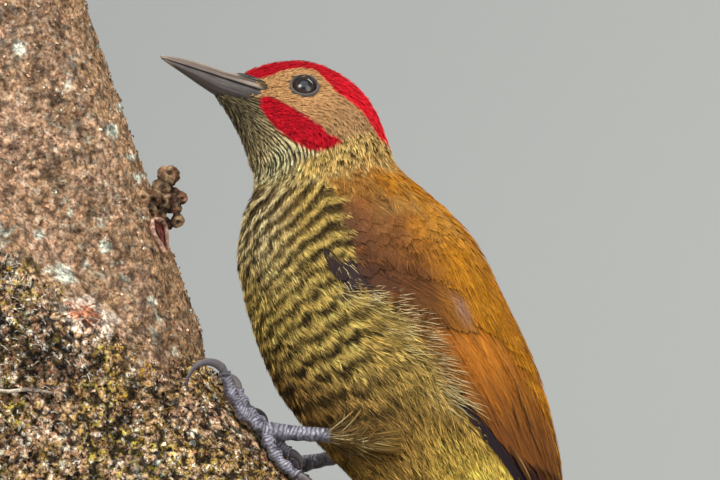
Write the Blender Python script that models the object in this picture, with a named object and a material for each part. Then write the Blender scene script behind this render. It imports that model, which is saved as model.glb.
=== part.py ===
"""A golden-olive woodpecker clinging to a cut piece of forked bough, held on a display stand.

The bird faces -X with its left side to -Y, and +Z is up. The origin is the middle of the stand's
underside. Lengths in this file are in millimetres until MM turns them into metres.
"""

import math

import bmesh
import bpy
from mathutils import Matrix, Vector

MM = 0.001
GAP = 0.35                            # clearance between two pieces that meet

# Where the middle of the bird's trunk is, above the middle of the stand.
BIRD_AT = Vector((42.0, 0.0, 220.0))

# The head looks a little to the bird's left, and leans over with the crown to its right.
HEAD_PIVOT = Vector((-6.0, 0.0, 34.0))
HEAD_YAW = math.radians(18.0)
HEAD_LEAN = math.radians(10.0)
BILL_RISE = math.radians(18.0)

# The outline of the plumage, from the chin to the tail coverts, as cross-sections:
# (belly x, belly z, back x, back z, half width, share of the head's turn).
SECTIONS = (
    (-39.2, 36.9, -37.6, 38.2, 1.3, 1.0),      # feathered chin, under the bill
    (-36.3, 33.6, -34.1, 40.2, 2.5, 1.0),
    (-33.9, 30.6, -30.9, 41.5, 3.5, 1.0),      # forehead
    (-31.8, 26.9, -26.5, 43.0, 4.9, 1.0),
    (-30.1, 23.3, -21.5, 44.3, 7.2, 1.0),      # lores
    (-28.9, 20.5, -16.0, 44.7, 9.6, 1.0),      # eyes
    (-28.1, 18.2, -10.2, 43.6, 11.3, 1.0),
    (-27.4, 16.5, -4.4, 40.7, 12.3, 1.0),      # ear coverts
    (-27.0, 15.0, 0.2, 36.9, 13.1, 0.92),
    (-26.6, 13.7, 3.8, 31.7, 13.6, 0.78),
    (-26.3, 12.7, 6.4, 25.2, 14.3, 0.55),      # nape
    (-26.5, 11.5, 9.1, 18.5, 15.8, 0.3),
    (-27.5, 9.0, 13.5, 14.5, 18.2, 0.12),      # shoulders
    (-29.0, 5.7, 18.5, 10.2, 20.7, 0.0),
    (-30.2, 1.2, 23.0, 5.5, 23.0, 0.0),
    (-30.9, -4.2, 27.5, 0.0, 24.8, 0.0),       # breast
    (-30.2, -10.0, 31.0, -6.0, 25.8, 0.0),
    (-28.7, -16.2, 34.0, -12.5, 26.3, 0.0),
    (-26.7, -23.2, 37.2, -19.2, 26.3, 0.0),    # middle of the back
    (-24.0, -30.7, 40.7, -26.5, 25.7, 0.0),
    (-20.2, -38.5, 44.0, -35.0, 24.4, 0.0),    # belly
    (-14.5, -46.2, 46.7, -44.2, 22.4, 0.0),
    (-8.0, -53.7, 48.7, -53.0, 20.0, 0.0),
    (-2.0, -59.7, 49.7, -61.7, 17.5, 0.0),     # vent
    (5.0, -66.2, 50.2, -70.0, 15.0, 0.0),
    (13.0, -74.0, 50.0, -77.5, 12.4, 0.0),
    (21.0, -81.0, 49.2, -84.5, 9.9, 0.0),      # tail coverts
    (28.5, -86.5, 48.0, -91.0, 8.0, 0.0),
    (34.8, -91.5, 47.0, -96.5, 6.9, 0.0),
    (39.4, -97.0, 46.0, -100.8, 5.8, 0.0),
    (42.2, -102.0, 44.9, -103.6, 4.2, 0.0),
)
SIDES = 24                                     # corners of a cross-section
HEAD_END, NECK_END, TRUNK_END = 9.6, 12.2, 30.0

# Folded wing, as shells over the body. Positions along it are section numbers, and heights up
# its side are shares of the way from belly to back.
WING_START, COVERT_TIPS, TERTIAL_TIPS, WING_TIP = 12.5, 19.2, 23.3, 27.0
WING_LOW = ((12.5, 0.58), (13.0, 0.49), (14.0, 0.47), (16.0, 0.48), (17.0, 0.54), (18.0, 0.61),
            (19.0, 0.67), (20.0, 0.70), (22.0, 0.76), (23.0, 0.81), (24.5, 0.84), (27.3, 0.90))
WING_HIGH = ((12.5, 0.68), (13.2, 0.80), (15.0, 0.88), (16.5, 0.95), (18.0, 1.0), (27.3, 1.0))
VANE_LOW = ((18.5, 0.69), (20.0, 0.745), (21.0, 0.78), (22.0, 0.83), (23.0, 0.91), (23.4, 0.96))
COVERT_THICK, VANE_THICK, PRIMARY_THICK, TIP_THICK = 3.0, 2.2, 1.5, 1.0

# Bill: (x, z) along the ridge, the mouth line and the underside, tip first, and half widths.
BILL_RIDGE = ((-51.7, 45.6), (-45.7, 44.8), (-39.9, 43.3), (-34.4, 41.5), (-29.4, 40.6), (-24.6, 38.9))
BILL_MOUTH = ((-51.5, 44.8), (-46.2, 42.9), (-41.0, 41.0), (-35.6, 39.0), (-29.8, 36.9), (-24.2, 34.9))
BILL_UNDER = ((-49.9, 43.6), (-45.7, 40.9), (-41.0, 37.8), (-36.4, 35.1), (-31.0, 32.8), (-26.0, 30.9))
BILL_HALF_WIDTHS = (0.35, 1.4, 2.5, 3.6, 4.8, 5.9)

EYE_AT = Vector((-17.3, 7.5, 35.8))
EYE_RADIUS = 3.3

# Tail: (x, z, half width, thickness) down its middle line from the coverts to the braced tips.
TAIL_LINE = ((44.2, -93.6, 8.4, 2.8), (43.8, -98.5, 10.8, 2.5), (43.1, -103.5, 12.2, 2.1),
             (42.1, -108.5, 11.6, 1.8), (40.9, -113.0, 8.2, 1.5), (40.0, -116.0, 3.0, 1.1))
TAIL_FEATHERS = 4                              # tips on each side of the tail

# Bough and limb, relative to the bird: two points on the bough's upper side, and its sizes.
BARK_LOW_X, BARK_LOW_Z = 38.0, -116.0
BARK_HIGH_X, BARK_HIGH_Z = -36.0, -35.0
BOUGH_RADIUS = 40.0
BOUGH_SIDE = -4.0                              # its middle line is a little to the bird's left
BOUGH_ABOVE, BOUGH_BELOW = 86.0, 18.0          # lengths past those two points
LIMB_FOOT, LIMB_TOP = Vector((-55.0, 3.0, -68.0)), Vector((-104.4, 3.0, 76.0))
LIMB_RADIUS = 28.5
BURR_BUMPS = ((-49.5, 0.0, 16.5, 4.2), (-45.9, -1.0, 14.0, 3.2), (-47.3, 1.0, 8.6, 3.6),
              (-52.5, -2.0, 9.8, 4.6), (-51.5, 1.5, 2.0, 4.4), (-46.6, -1.5, 4.0, 2.8))

# Legs. The joint of a foot is (way down the bough, way across from its crest, height over it).
JOINTS = {"left": (17.6, -10.5, 2.6), "right": (28.6, 18.5, 2.6)}
HEELS = {"left": Vector((-0.6, -17.0, -48.6)), "right": Vector((6.4, 18.0, -52.6))}
HIP = Vector((9.0, 17.0, -32.0))
TARSUS_RADIUS, TOE_RADIUS, CLAW_RADIUS = 2.0, 1.65, 1.15
# Each toe: places from the joint (down, outwards, up), then its claw's radius of bend and the
# angle it starts upwards at.
TOES = {
    "toe_3": (((-2.4, 1.3, 0.2), (-7.0, 2.4, -0.3), (-12.5, 3.4, 1.4), (-18.0, 4.2, 4.4)), 5.8, 50.0),
    "toe_2": (((-2.5, -2.4, -0.3), (-6.0, -3.9, -0.8), (-9.2, -5.4, -0.6), (-12.0, -6.6, 0.2)), 3.6, 45.0),
    "toe_4": (((2.4, 2.2, -0.5), (5.8, 3.6, -0.8), (9.6, 4.6, -0.6), (13.4, 5.0, 0.3)), 4.0, 40.0),
    "toe_1": (((2.6, -2.2, -0.6), (5.0, -3.2, -0.8), (7.8, -3.8, -0.3)), 3.2, 40.0),
}
# The claw that is held out over the bark, upright, with its turn to the side and where it ends.
CLAW_TURNED = ("toe_3_left", math.radians(30.0), math.radians(103.0))
CLAW_CLEAR = 0.9                               # height of a claw's tip over the bark

BASE_LONG, BASE_DEEP, BASE_THICK = 232.0, 142.0, 12.0
BASE_CORNER = 18.0
ROD_RADIUS = 4.0
ROD_DEPTH = 12.0                               # how far a rod goes into the bough
ROD_X = (18.0, -22.0)


# ---------------------------------------------------------------- mesh helpers

def material(name, colour, roughness, metallic=0.0):
    made = bpy.data.materials.new(name)
    made.use_nodes = True
    surface = made.node_tree.nodes["Principled BSDF"]
    surface.inputs["Base Color"].default_value = (*colour, 1.0)
    surface.inputs["Roughness"].default_value = roughness
    surface.inputs["Metallic"].default_value = metallic
    return made


def add_object(name, bm, finish):
    """One named object from a bmesh in millimetres, its normals facing out."""
    bmesh.ops.remove_doubles(bm, verts=bm.verts, dist=0.002)
    bmesh.ops.recalc_face_normals(bm, faces=bm.faces)
    bmesh.ops.scale(bm, vec=(MM, MM, MM), verts=bm.verts)
    mesh = bpy.data.meshes.new(name)
    bm.to_mesh(mesh)
    bm.free()
    mesh.shade_smooth()
    mesh.set_sharp_from_angle(angle=math.radians(50.0))
    mesh.materials.append(finish)
    made = bpy.data.objects.new(name, mesh)
    bpy.context.scene.collection.objects.link(made)
    return made


def loft(bm, rings):
    """Closed skin over rings of as many points each, with flat ends. A ring of one point is a tip."""
    rows = [[bm.verts.new(point) for point in ring] for ring in rings]
    for near, far in zip(rows, rows[1:]):
        count = max(len(near), len(far))
        for i in range(count):
            j = (i + 1) % count
            corners = [near[i % len(near)], near[j % len(near)], far[j % len(far)], far[i % len(far)]]
            bm.faces.new(list(dict.fromkeys(corners)))
    for end in (rows[0], rows[-1]):
        if len(end) > 2:
            bm.faces.new(end)
    return bm


def cutter(name, bm):
    made = add_object(name, bm, CUT)
    made.hide_render = True
    made.display_type = "WIRE"
    return made


def grown(source, by=GAP):
    """A hidden copy of a piece, larger all over by a clearance, to cut its neighbours with."""
    made = bpy.data.objects.new(source.name + "_clearance", source.data.copy())
    for modifier in source.modifiers:
        if modifier.type == "BOOLEAN":
            boolean(made, modifier.object, modifier.operation)
    swell = made.modifiers.new("swell", "DISPLACE")
    swell.mid_level = 0.0
    swell.strength = by * MM
    made.hide_render = True
    made.display_type = "WIRE"
    bpy.context.scene.collection.objects.link(made)
    return made


def boolean(target, tool, operation="DIFFERENCE"):
    step = target.modifiers.new(operation.lower() + "_" + tool.name, "BOOLEAN")
    step.operation = operation
    step.object = tool
    step.solver = "EXACT"


def between(table, at):
    """A row of a table read at a place between its rows, on a smooth curve through them."""
    last = len(table) - 1
    i = min(max(int(math.floor(at)), 0), last - 1)
    u = at - i
    a, b, c, d = (table[min(max(k, 0), last)] for k in (i - 1, i, i + 1, i + 2))
    return tuple(
        0.5 * ((2 * q) + (r - p) * u + (2 * p - 5 * q + 4 * r - s) * u * u + (3 * q - p - 3 * r + s) * u ** 3)
        for p, q, r, s in zip(a, b, c, d))


def read_line(points, at):
    """The value at a place along straight lines through (place, value) points."""
    for (x0, y0), (x1, y1) in zip(points, points[1:]):
        if at <= x1:
            return y0 + (y1 - y0) * max(0.0, at - x0) / (x1 - x0)
    return points[-1][1]


def tube_rings(path, radii, sides, flat=1.0):
    """Rings round a path. Flat squeezes them across the way that faces up."""
    rings = []
    for i, point in enumerate(path):
        ahead, behind = path[min(i + 1, len(path) - 1)], path[max(i - 1, 0)]
        along = (ahead - behind).normalized()
        side = along.cross(Vector((0.0, 0.0, 1.0)))
        side = side.normalized() if side.length > 0.05 else Vector((0.0, 1.0, 0.0))
        up = side.cross(along)
        ring = []
        for k in range(sides):
            a = 2 * math.pi * k / sides
            ring.append(point + side * (radii[i] * math.cos(a)) + up * (radii[i] * flat * math.sin(a)))
        rings.append(ring)
    return rings


# ---------------------------------------------------------------- body form

def turned(point, share):
    """A point of the head's own upright form, put where the turned and leaning head has it."""
    axis = Vector((-math.cos(BILL_RISE), 0.0, math.sin(BILL_RISE)))
    lean = Matrix.Rotation(HEAD_LEAN * share, 3, axis)
    yaw = Matrix.Rotation(HEAD_YAW * share, 3, "Z")
    return HEAD_PIVOT + yaw @ (lean @ (point - HEAD_PIVOT))


def body_point(at, angle, out=0.0):
    """A point of the plumage's outline: at a section number, at an angle up from the bird's
    right side over the back, and some millimetres outside it."""
    belly_x, belly_z, back_x, back_z, half_width, share = between(SECTIONS, at)
    middle = Vector(((belly_x + back_x) / 2, 0.0, (belly_z + back_z) / 2))
    half = Vector(((back_x - belly_x) / 2, 0.0, (back_z - belly_z) / 2))
    depth = half.length
    fullness = 0.93
    c, s = math.cos(angle), math.sin(angle)
    across = math.copysign(abs(c) ** fullness, c) * (half_width + out)
    point = middle + half * (s * (depth + out) / depth) + Vector((0.0, across, 0.0))
    return BIRD_AT + turned(point, share)


def body_ring(at, shift=0.0):
    """A whole cross-section, moved along its own normal by shift."""
    ring = [body_point(at, 2 * math.pi * k / SIDES) for k in range(SIDES)]
    normal = (ring[SIDES // 4] - ring[0]).cross(ring[SIDES // 2] - ring[0]).normalized()
    ahead = body_point(at + 0.1, 0.0) + body_point(at + 0.1, math.pi) - ring[0] - ring[SIDES // 2]
    if normal.dot(ahead) < 0:
        normal = -normal
    return [point + normal * shift for point in ring]


def body_piece(name, start, end, step, finish):
    """A length of the body, parted from its neighbours by half the clearance at each end."""
    count = max(2, round((end - start) / step))
    places = [start + (end - start) * i / count for i in range(1, count)]
    rings = [body_ring(start, GAP / 2)] + [body_ring(at) for at in places] + [body_ring(end, -GAP / 2)]
    return add_object(name, loft(bmesh.new(), rings), finish)


# ---------------------------------------------------------------- bill and eyes

def half_bill(bm, edge, mouth, keel, grow=0.0):
    """One mandible: flat along the mouth line, arched over to the ridge or the keel."""
    rings = []
    arch = 8
    for i, half_width in enumerate(BILL_HALF_WIDTHS):
        outer, inner = Vector((edge[i][0], 0, edge[i][1])), Vector((mouth[i][0], 0, mouth[i][1]))
        if i == len(BILL_HALF_WIDTHS) - 1:
            outer.x, inner.x = outer.x + grow, inner.x + grow
        rise = outer - inner
        lift = rise.normalized()
        inner = inner + lift * (GAP / 2 - grow)
        rise = lift * max(rise.length - GAP / 2 + 2 * grow, 0.5)
        ring = []
        for k in range(arch + 1):
            a = math.pi * k / arch
            side = Vector((0.0, (half_width + grow) * math.cos(a), 0.0))
            ring.append(BIRD_AT + turned(inner + side + rise * math.sin(a) ** keel, 1.0))
        rings.append(ring)
    return loft(bm, rings)


def make_bill():
    upper = add_object("bill_upper", half_bill(bmesh.new(), BILL_RIDGE, BILL_MOUTH, 0.9), HORN)
    lower = add_object("bill_lower", half_bill(bmesh.new(), BILL_UNDER, BILL_MOUTH, 0.8), HORN)
    room = [cutter("bill_upper_room", half_bill(bmesh.new(), BILL_RIDGE, BILL_MOUTH, 0.9, GAP)),
            cutter("bill_lower_room", half_bill(bmesh.new(), BILL_UNDER, BILL_MOUTH, 0.8, GAP))]
    return upper, lower, room


def ball(centre, radius, rings=8, segments=12):
    bm = bmesh.new()
    bmesh.ops.create_uvsphere(bm, u_segments=segments, v_segments=rings, radius=radius)
    bmesh.ops.translate(bm, vec=centre, verts=bm.verts)
    return bm


def make_eyes():
    sockets = []
    for name, side in (("left", -1.0), ("right", 1.0)):
        centre = BIRD_AT + turned(Vector((EYE_AT.x, side * EYE_AT.y, EYE_AT.z)), 1.0)
        add_object("eye_" + name, ball(centre, EYE_RADIUS), EYE)
        sockets.append(cutter("socket_" + name, ball(centre, EYE_RADIUS + GAP)))
    return sockets


# ---------------------------------------------------------------- wings

def side_angle(height, side):
    """The angle on a cross-section at a share of the way from belly to back, on one side."""
    up = math.asin(max(-1.0, min(1.0, 2 * height - 1)))
    return up if side > 0 else math.pi - up


def shell(bm, rows, low, high, inside, outside, side, columns, middle=0.45):
    """A thick patch over the body. Low, high, inside and outside are functions of the place.
    It stops short of the middle of the back."""
    grids = []
    for out in (outside, inside):
        grid = []
        for at in rows:
            bottom, top = side_angle(low(at), 1.0), side_angle(high(at), 1.0)
            line = []
            for k in range(columns + 1):
                up = bottom + (top - bottom) * k / columns
                point = body_point(at, up, out(at))
                point.y = max(point.y + min(middle, 0.0), BIRD_AT.y + middle)
                line.append(bm.verts.new((point.x, side * point.y, point.z)))
            grid.append(line)
        grids.append(grid)
    outer, inner = grids
    last_row, last = len(rows) - 1, columns
    for i in range(last_row):
        for k in range(last):
            bm.faces.new((outer[i][k], outer[i][k + 1], outer[i + 1][k + 1], outer[i + 1][k]))
            bm.faces.new((inner[i][k], inner[i + 1][k], inner[i + 1][k + 1]))
            bm.faces.new((inner[i][k], inner[i + 1][k + 1], inner[i][k + 1]))
        for k in (0, last):
            bm.faces.new((outer[i][k], outer[i + 1][k], inner[i + 1][k], inner[i][k]))
    for i in (0, last_row):
        for k in range(last):
            bm.faces.new((outer[i][k], outer[i][k + 1], inner[i][k + 1], inner[i][k]))
    return bm


def steps(start, end, size):
    count = max(2, round((end - start) / size))
    return [start + (end - start) * i / count for i in range(count + 1)]


def make_wing(name, side):
    """Coverts over the vanes of the secondaries, and the long primaries below and beyond them.
    Returns the room that the whole wing takes up, to cut out of the trunk."""
    def low(at):
        return read_line(WING_LOW, at)

    def high(at):
        return read_line(WING_HIGH, at)

    def vane_low(at):
        return read_line(VANE_LOW, at)

    def blunt(at, start, end, full):
        """Full thickness, thinned towards both ends of a layer."""
        near = min(1.0, (at - start) / 0.6 + 0.35)
        far = min(1.0, (end - at) / 1.6 + 0.4)
        return full * near * far

    def depth(at):
        """How far a layer goes in, less towards the wing's tip."""
        return read_line(((0.0, COVERT_THICK), (COVERT_TIPS + 0.3, COVERT_THICK), (20.6, VANE_THICK),
                          (24.0, VANE_THICK), (WING_TIP, TIP_THICK)), at)

    covert_rows = steps(WING_START, COVERT_TIPS, 0.6)
    coverts = shell(
        bmesh.new(), covert_rows, low, high, lambda at: -depth(at),
        lambda at: -depth(at) + blunt(at, WING_START, COVERT_TIPS, COVERT_THICK + 1.0), side, 6)
    add_object(f"wing_{name}_coverts", coverts, BRONZE)
    start = COVERT_TIPS + 0.08
    vane_rows = steps(start, TERTIAL_TIPS, 0.6)
    secondaries = shell(
        bmesh.new(), vane_rows, vane_low, high, lambda at: -VANE_THICK,
        lambda at: -VANE_THICK + blunt(at, start - 2, TERTIAL_TIPS, VANE_THICK + 0.4), side, 4)
    add_object(f"wing_{name}_secondaries", secondaries, BRONZE)
    seam = 0.014
    fan = tuple((at, share - seam) for at, share in VANE_LOW[:-1]) + (
        (TERTIAL_TIPS + 0.15, 0.93), (24.2, 0.985), (25.5, 0.995), (WING_TIP, 0.95))
    primary_rows = vane_rows + steps(TERTIAL_TIPS + 0.3, WING_TIP, 0.6)
    primaries = shell(
        bmesh.new(), primary_rows, low, lambda at: read_line(fan, at), lambda at: -min(depth(at), VANE_THICK),
        lambda at: -min(depth(at), VANE_THICK) + blunt(at, start - 2, WING_TIP, PRIMARY_THICK), side, 3)
    add_object(f"wing_{name}_primaries", primaries, DUSKY)
    room_rows = [WING_START - 0.12] + covert_rows[1:] + primary_rows + [WING_TIP + 0.12]
    room = shell(
        bmesh.new(), room_rows, lambda at: low(at) - 0.016, lambda at: min(high(at) + 0.016, 1.0),
        lambda at: -1.9 * GAP - depth(at), lambda at: 4.0, side, 6, middle=-0.1)
    return cutter(f"wing_{name}_room", room)


# ---------------------------------------------------------------- tail

def make_tail():
    """Stiff tail feathers pressed together, stepped at their tips and braced on the bark."""
    bm = bmesh.new()
    rings = []
    half = TAIL_FEATHERS
    count = 2 * (len(TAIL_LINE) - 1)
    for i in range(count + 1):
        x, z, half_width, thick = between(TAIL_LINE, i / 2)
        ahead = between(TAIL_LINE, min(i / 2 + 0.1, count / 2))
        behind = between(TAIL_LINE, max(i / 2 - 0.1, 0))
        along = Vector((ahead[0] - behind[0], 0.0, ahead[1] - behind[1])).normalized()
        up = Vector((-along.z, 0.0, along.x))
        middle = BIRD_AT + Vector((x, 0.0, z))
        upper, lower = [], []
        for k in range(-half, half + 1):
            share = k / half
            roof = (1.0 - share * share) * 1.6
            y = Vector((0.0, half_width * share, 0.0))
            ridge = 0.25 if k % 2 else 0.0
            upper.append(middle + y + up * (roof + thick / 2 + ridge))
            lower.append(middle + y + up * (roof - thick / 2))
        rings.append(upper + lower[::-1])
    return add_object("tail", loft(bm, rings), BRONZE)


# ---------------------------------------------------------------- perch

def bark_frame():
    """The bough's direction downhill and the normal of its crest, as unit vectors."""
    down = Vector((BARK_LOW_X - BARK_HIGH_X, 0.0, BARK_LOW_Z - BARK_HIGH_Z)).normalized()
    return down, Vector((-down.z, 0.0, down.x))


def bark_point(down_by, across, height):
    """A point over the bark: down the bough from its upper mark, out from the crest, and up."""
    down, crest = bark_frame()
    high = Vector((BARK_HIGH_X, 0.0, BARK_HIGH_Z))
    axis = high - crest * BOUGH_RADIUS + down * down_by
    lean = across / BOUGH_RADIUS
    outward = crest * math.cos(lean) + Vector((0.0, math.sin(lean), 0.0))
    return BIRD_AT + Vector((0.0, BOUGH_SIDE, 0.0)) + axis + outward * (BOUGH_RADIUS + height)


def lumps(along, angle):
    """Low swellings of the bark, none under the feet or the tail."""
    calm = 0.5 - 0.5 * math.cos(angle)
    return calm * (1.3 * math.sin(along / 17.0 + 2 * angle) + 0.9 * math.sin(along / 9.0 - 3 * angle + 1.0))


def make_bough():
    """The thick, sloping length of bough, drilled from below for the stand's rods."""
    down, crest = bark_frame()
    span = math.hypot(BARK_LOW_X - BARK_HIGH_X, BARK_LOW_Z - BARK_HIGH_Z)
    length = BOUGH_ABOVE + span + BOUGH_BELOW
    rings_along, sides = 12, 24
    rings = []
    for i in range(rings_along + 1):
        along = -BOUGH_ABOVE + length * i / rings_along
        ring = []
        for k in range(sides):
            angle = 2 * math.pi * k / sides
            point = bark_point(along, angle * BOUGH_RADIUS, lumps(along, angle))
            ring.append(point)
        rings.append(ring)
    return add_object("perch_bough", loft(bmesh.new(), rings), BARK)


def make_limb(bough):
    """The limb that forks off behind the bough, and the burr on its side."""
    axis = (LIMB_TOP - LIMB_FOOT).normalized()
    side = Vector((0.0, 1.0, 0.0))
    front = axis.cross(side)
    rings_along, sides = 8, 20
    rings = []
    for i in range(rings_along + 1):
        share = i / rings_along
        centre = BIRD_AT + LIMB_FOOT.lerp(LIMB_TOP, share)
        flare = read_line(((0.0, 0.72), (0.25, 1.04), (0.5, 1.0), (1.0, 0.97)), share)
        ring = []
        for k in range(sides):
            angle = 2 * math.pi * k / sides
            radius = LIMB_RADIUS * flare + 0.8 * math.sin(5 * share + 3 * angle)
            ring.append(centre + side * (radius * math.sin(angle)) + front * (radius * math.cos(angle)))
        rings.append(ring)
    limb = add_object("perch_limb", loft(bmesh.new(), rings), BARK)
    boolean(limb, grown(bough))
    x, y, z, radius = BURR_BUMPS[0]
    burr = add_object("perch_burr", ball(BIRD_AT + Vector((x, LIMB_FOOT.y + y, z)), radius, 5, 7), BARK)
    for i, (x, y, z, radius) in enumerate(BURR_BUMPS[1:]):
        bump = cutter(f"burr_bump_{i}", ball(BIRD_AT + Vector((x, LIMB_FOOT.y + y, z)), radius, 5, 7))
        boolean(burr, bump, "UNION")
    boolean(burr, grown(limb))
    return limb


def make_stand(bough):
    """A rounded base board and two upright steel rods let into the bough."""
    bm = bmesh.new()
    bmesh.ops.create_cube(bm, size=1.0)
    bmesh.ops.scale(bm, vec=(BASE_LONG, BASE_DEEP, BASE_THICK), verts=bm.verts)
    bmesh.ops.translate(bm, vec=(0.0, 0.0, BASE_THICK / 2), verts=bm.verts)
    uprights = [e for e in bm.edges if abs(e.verts[0].co.z - e.verts[1].co.z) > 1.0]
    bmesh.ops.bevel(bm, geom=uprights, offset=BASE_CORNER, segments=4, profile=0.5, affect="EDGES")
    rim = [e for e in bm.edges if min(v.co.z for v in e.verts) > BASE_THICK - 0.1]
    bmesh.ops.bevel(bm, geom=rim, offset=2.0, segments=2, profile=0.5, affect="EDGES")
    add_object("stand_base", bm, BOARD)
    down, crest = bark_frame()
    for i, x in enumerate(ROD_X):
        local_x = x - BIRD_AT.x
        under = BARK_HIGH_Z - 2 * BOUGH_RADIUS * crest.z
        under += (local_x - (BARK_HIGH_X - 2 * BOUGH_RADIUS * crest.x)) * down.z / down.x
        top = BIRD_AT.z + under + ROD_DEPTH
        rod, hole = ("rod", ROD_RADIUS, BASE_THICK + GAP), ("hole", ROD_RADIUS + GAP, BASE_THICK)
        for name, radius, low in (rod, hole):
            bm = bmesh.new()
            high = top if name == "rod" else top + GAP
            bmesh.ops.create_cone(bm, cap_ends=True, segments=16, radius1=radius, radius2=radius,
                                  depth=high - low)
            bmesh.ops.translate(bm, vec=(x, BOUGH_SIDE, (high + low) / 2), verts=bm.verts)
            if name == "rod":
                add_object(f"stand_rod_{i + 1}", bm, STEEL)
            else:
                boolean(bough, cutter(f"stand_hole_{i + 1}", bm))


# ---------------------------------------------------------------- legs and feet

def smooth_path(points, count):
    knots, last = [tuple(p) for p in points], len(points) - 1
    return [Vector(between(knots, last * i / count)) for i in range(count + 1)]


def claw_rings(root, forward, outward, bend, start, end):
    """A tapering claw on an arc that starts upwards and turns down to the bark."""
    turns = 6
    centre = root - outward * (bend * math.cos(start)) + forward * (bend * math.sin(start))
    path, radii = [], []
    for i in range(turns + 1):
        a = -start + (start + end) * i / turns
        path.append(centre + outward * (bend * math.cos(a)) + forward * (bend * math.sin(a)))
        radii.append(CLAW_RADIUS + (0.27 - CLAW_RADIUS) * (i / turns) ** 1.2)
    return tube_rings(path, radii, 5)


def make_leg(name, side):
    """Feathered thigh, scaly tarsus with the ball of the foot, and four toes with their claws."""
    down_by, across, height = JOINTS[name]
    joint = bark_point(down_by, across, height)
    heel, hip = BIRD_AT + HEELS[name], BIRD_AT + Vector((HIP.x, side * HIP.y, HIP.z))
    shin = (heel - joint).normalized()
    path = smooth_path([heel - shin * 1.6, heel.lerp(hip, 0.35), heel.lerp(hip, 0.7), hip], 6)
    radii = [2.6, 4.6, 6.6, 8.3, 9.4, 9.6, 8.6]
    thigh = add_object(f"thigh_{name}", loft(bmesh.new(), tube_rings(path, radii, 12)), COAT)
    boolean(trunk, grown(thigh))
    path = smooth_path([joint, joint.lerp(heel, 0.33), joint.lerp(heel, 0.66), heel - shin * 1.0], 5)
    radii = [TARSUS_RADIUS * k for k in (1.05, 0.95, 0.9, 0.9, 0.95, 1.0)]
    tarsus = add_object(f"tarsus_{name}", loft(bmesh.new(), tube_rings(path, radii, 9)), SKIN)
    knuckle = cutter(f"knuckle_{name}", ball(joint, TARSUS_RADIUS * 1.25, 7, 9))
    boolean(tarsus, knuckle, "UNION")
    boolean(tarsus, grown(thigh))
    boolean(trunk, grown(tarsus))
    tarsus_room = grown(tarsus)
    for toe, (places, bend, start) in TOES.items():
        points = [bark_point(down_by + d, across + side * out, height + up) for d, out, up in places]
        path = smooth_path(points, 5)
        radii = [TOE_RADIUS * k for k in (0.95, 1.0, 0.9, 1.0, 0.88, 0.8)]
        piece = add_object(f"{toe}_{name}", loft(bmesh.new(), tube_rings(path, radii, 7)), SKIN)
        boolean(piece, tarsus_room)
        d, out, up = places[-1]
        foot = (down_by + d, across + side * out)
        normal = bark_point(*foot, 1.0) - bark_point(*foot, 0.0)
        forward = (path[-1] - path[-2]).normalized()
        forward = (forward - normal * forward.dot(normal)).normalized()
        begin = math.radians(start)
        end = math.acos(math.cos(begin) - (height + up - CLAW_CLEAR) / bend)
        if f"{toe}_{name}" == CLAW_TURNED[0]:
            aside, end = CLAW_TURNED[1:]
            normal, forward = Vector((0.0, 0.0, 1.0)), Vector((-math.cos(aside), -math.sin(aside), 0.0))
        root = path[-1] + (path[-1] - path[-2]).normalized() * (0.8 + GAP)
        rings = claw_rings(root, forward, normal, bend, begin, end)
        add_object(f"claw_{toe[-1]}_{name}", loft(bmesh.new(), rings), CLAW)


# ---------------------------------------------------------------- the whole bird

for old in list(bpy.data.objects):
    bpy.data.objects.remove(old)

COAT = material("plumage", (0.42, 0.36, 0.16), 0.8)
BRONZE = material("bronze_feathers", (0.52, 0.26, 0.06), 0.6)
DUSKY = material("dusky_feathers", (0.07, 0.05, 0.045), 0.6)
HORN = material("bill_horn", (0.17, 0.17, 0.18), 0.4)
EYE = material("eye", (0.03, 0.015, 0.012), 0.08)
SKIN = material("leg_skin", (0.22, 0.23, 0.27), 0.55)
CLAW = material("claw_horn", (0.16, 0.13, 0.13), 0.35)
BARK = material("bark", (0.27, 0.2, 0.14), 0.9)
BOARD = material("base_board", (0.12, 0.1, 0.09), 0.5)
STEEL = material("rod_steel", (0.55, 0.55, 0.56), 0.3, 1.0)
CUT = material("cutter", (0.8, 0.1, 0.1), 0.5)

head = body_piece("head", 0.0, HEAD_END, 0.9, COAT)
body_piece("neck", HEAD_END, NECK_END, 0.65, COAT)
trunk = body_piece("trunk", NECK_END, TRUNK_END, 1.1, COAT)
for room in make_bill()[2] + make_eyes():
    boolean(head, room)
for wing_name, wing_side in (("left", -1.0), ("right", 1.0)):
    boolean(trunk, make_wing(wing_name, wing_side))
boolean(trunk, grown(make_tail()))
bough_piece = make_bough()
make_limb(bough_piece)
make_stand(bough_piece)
for leg_name, leg_side in (("left", -1.0), ("right", 1.0)):
    make_leg(leg_name, leg_side)
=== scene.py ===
"""A still, life-size display model of a golden-olive woodpecker, clinging to a cut forked bough.

The bird faces -X with its left side to -Y, and +Z is up. Sizes are in millimetres until a mesh is
made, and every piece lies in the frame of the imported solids.
"""

import math

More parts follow.
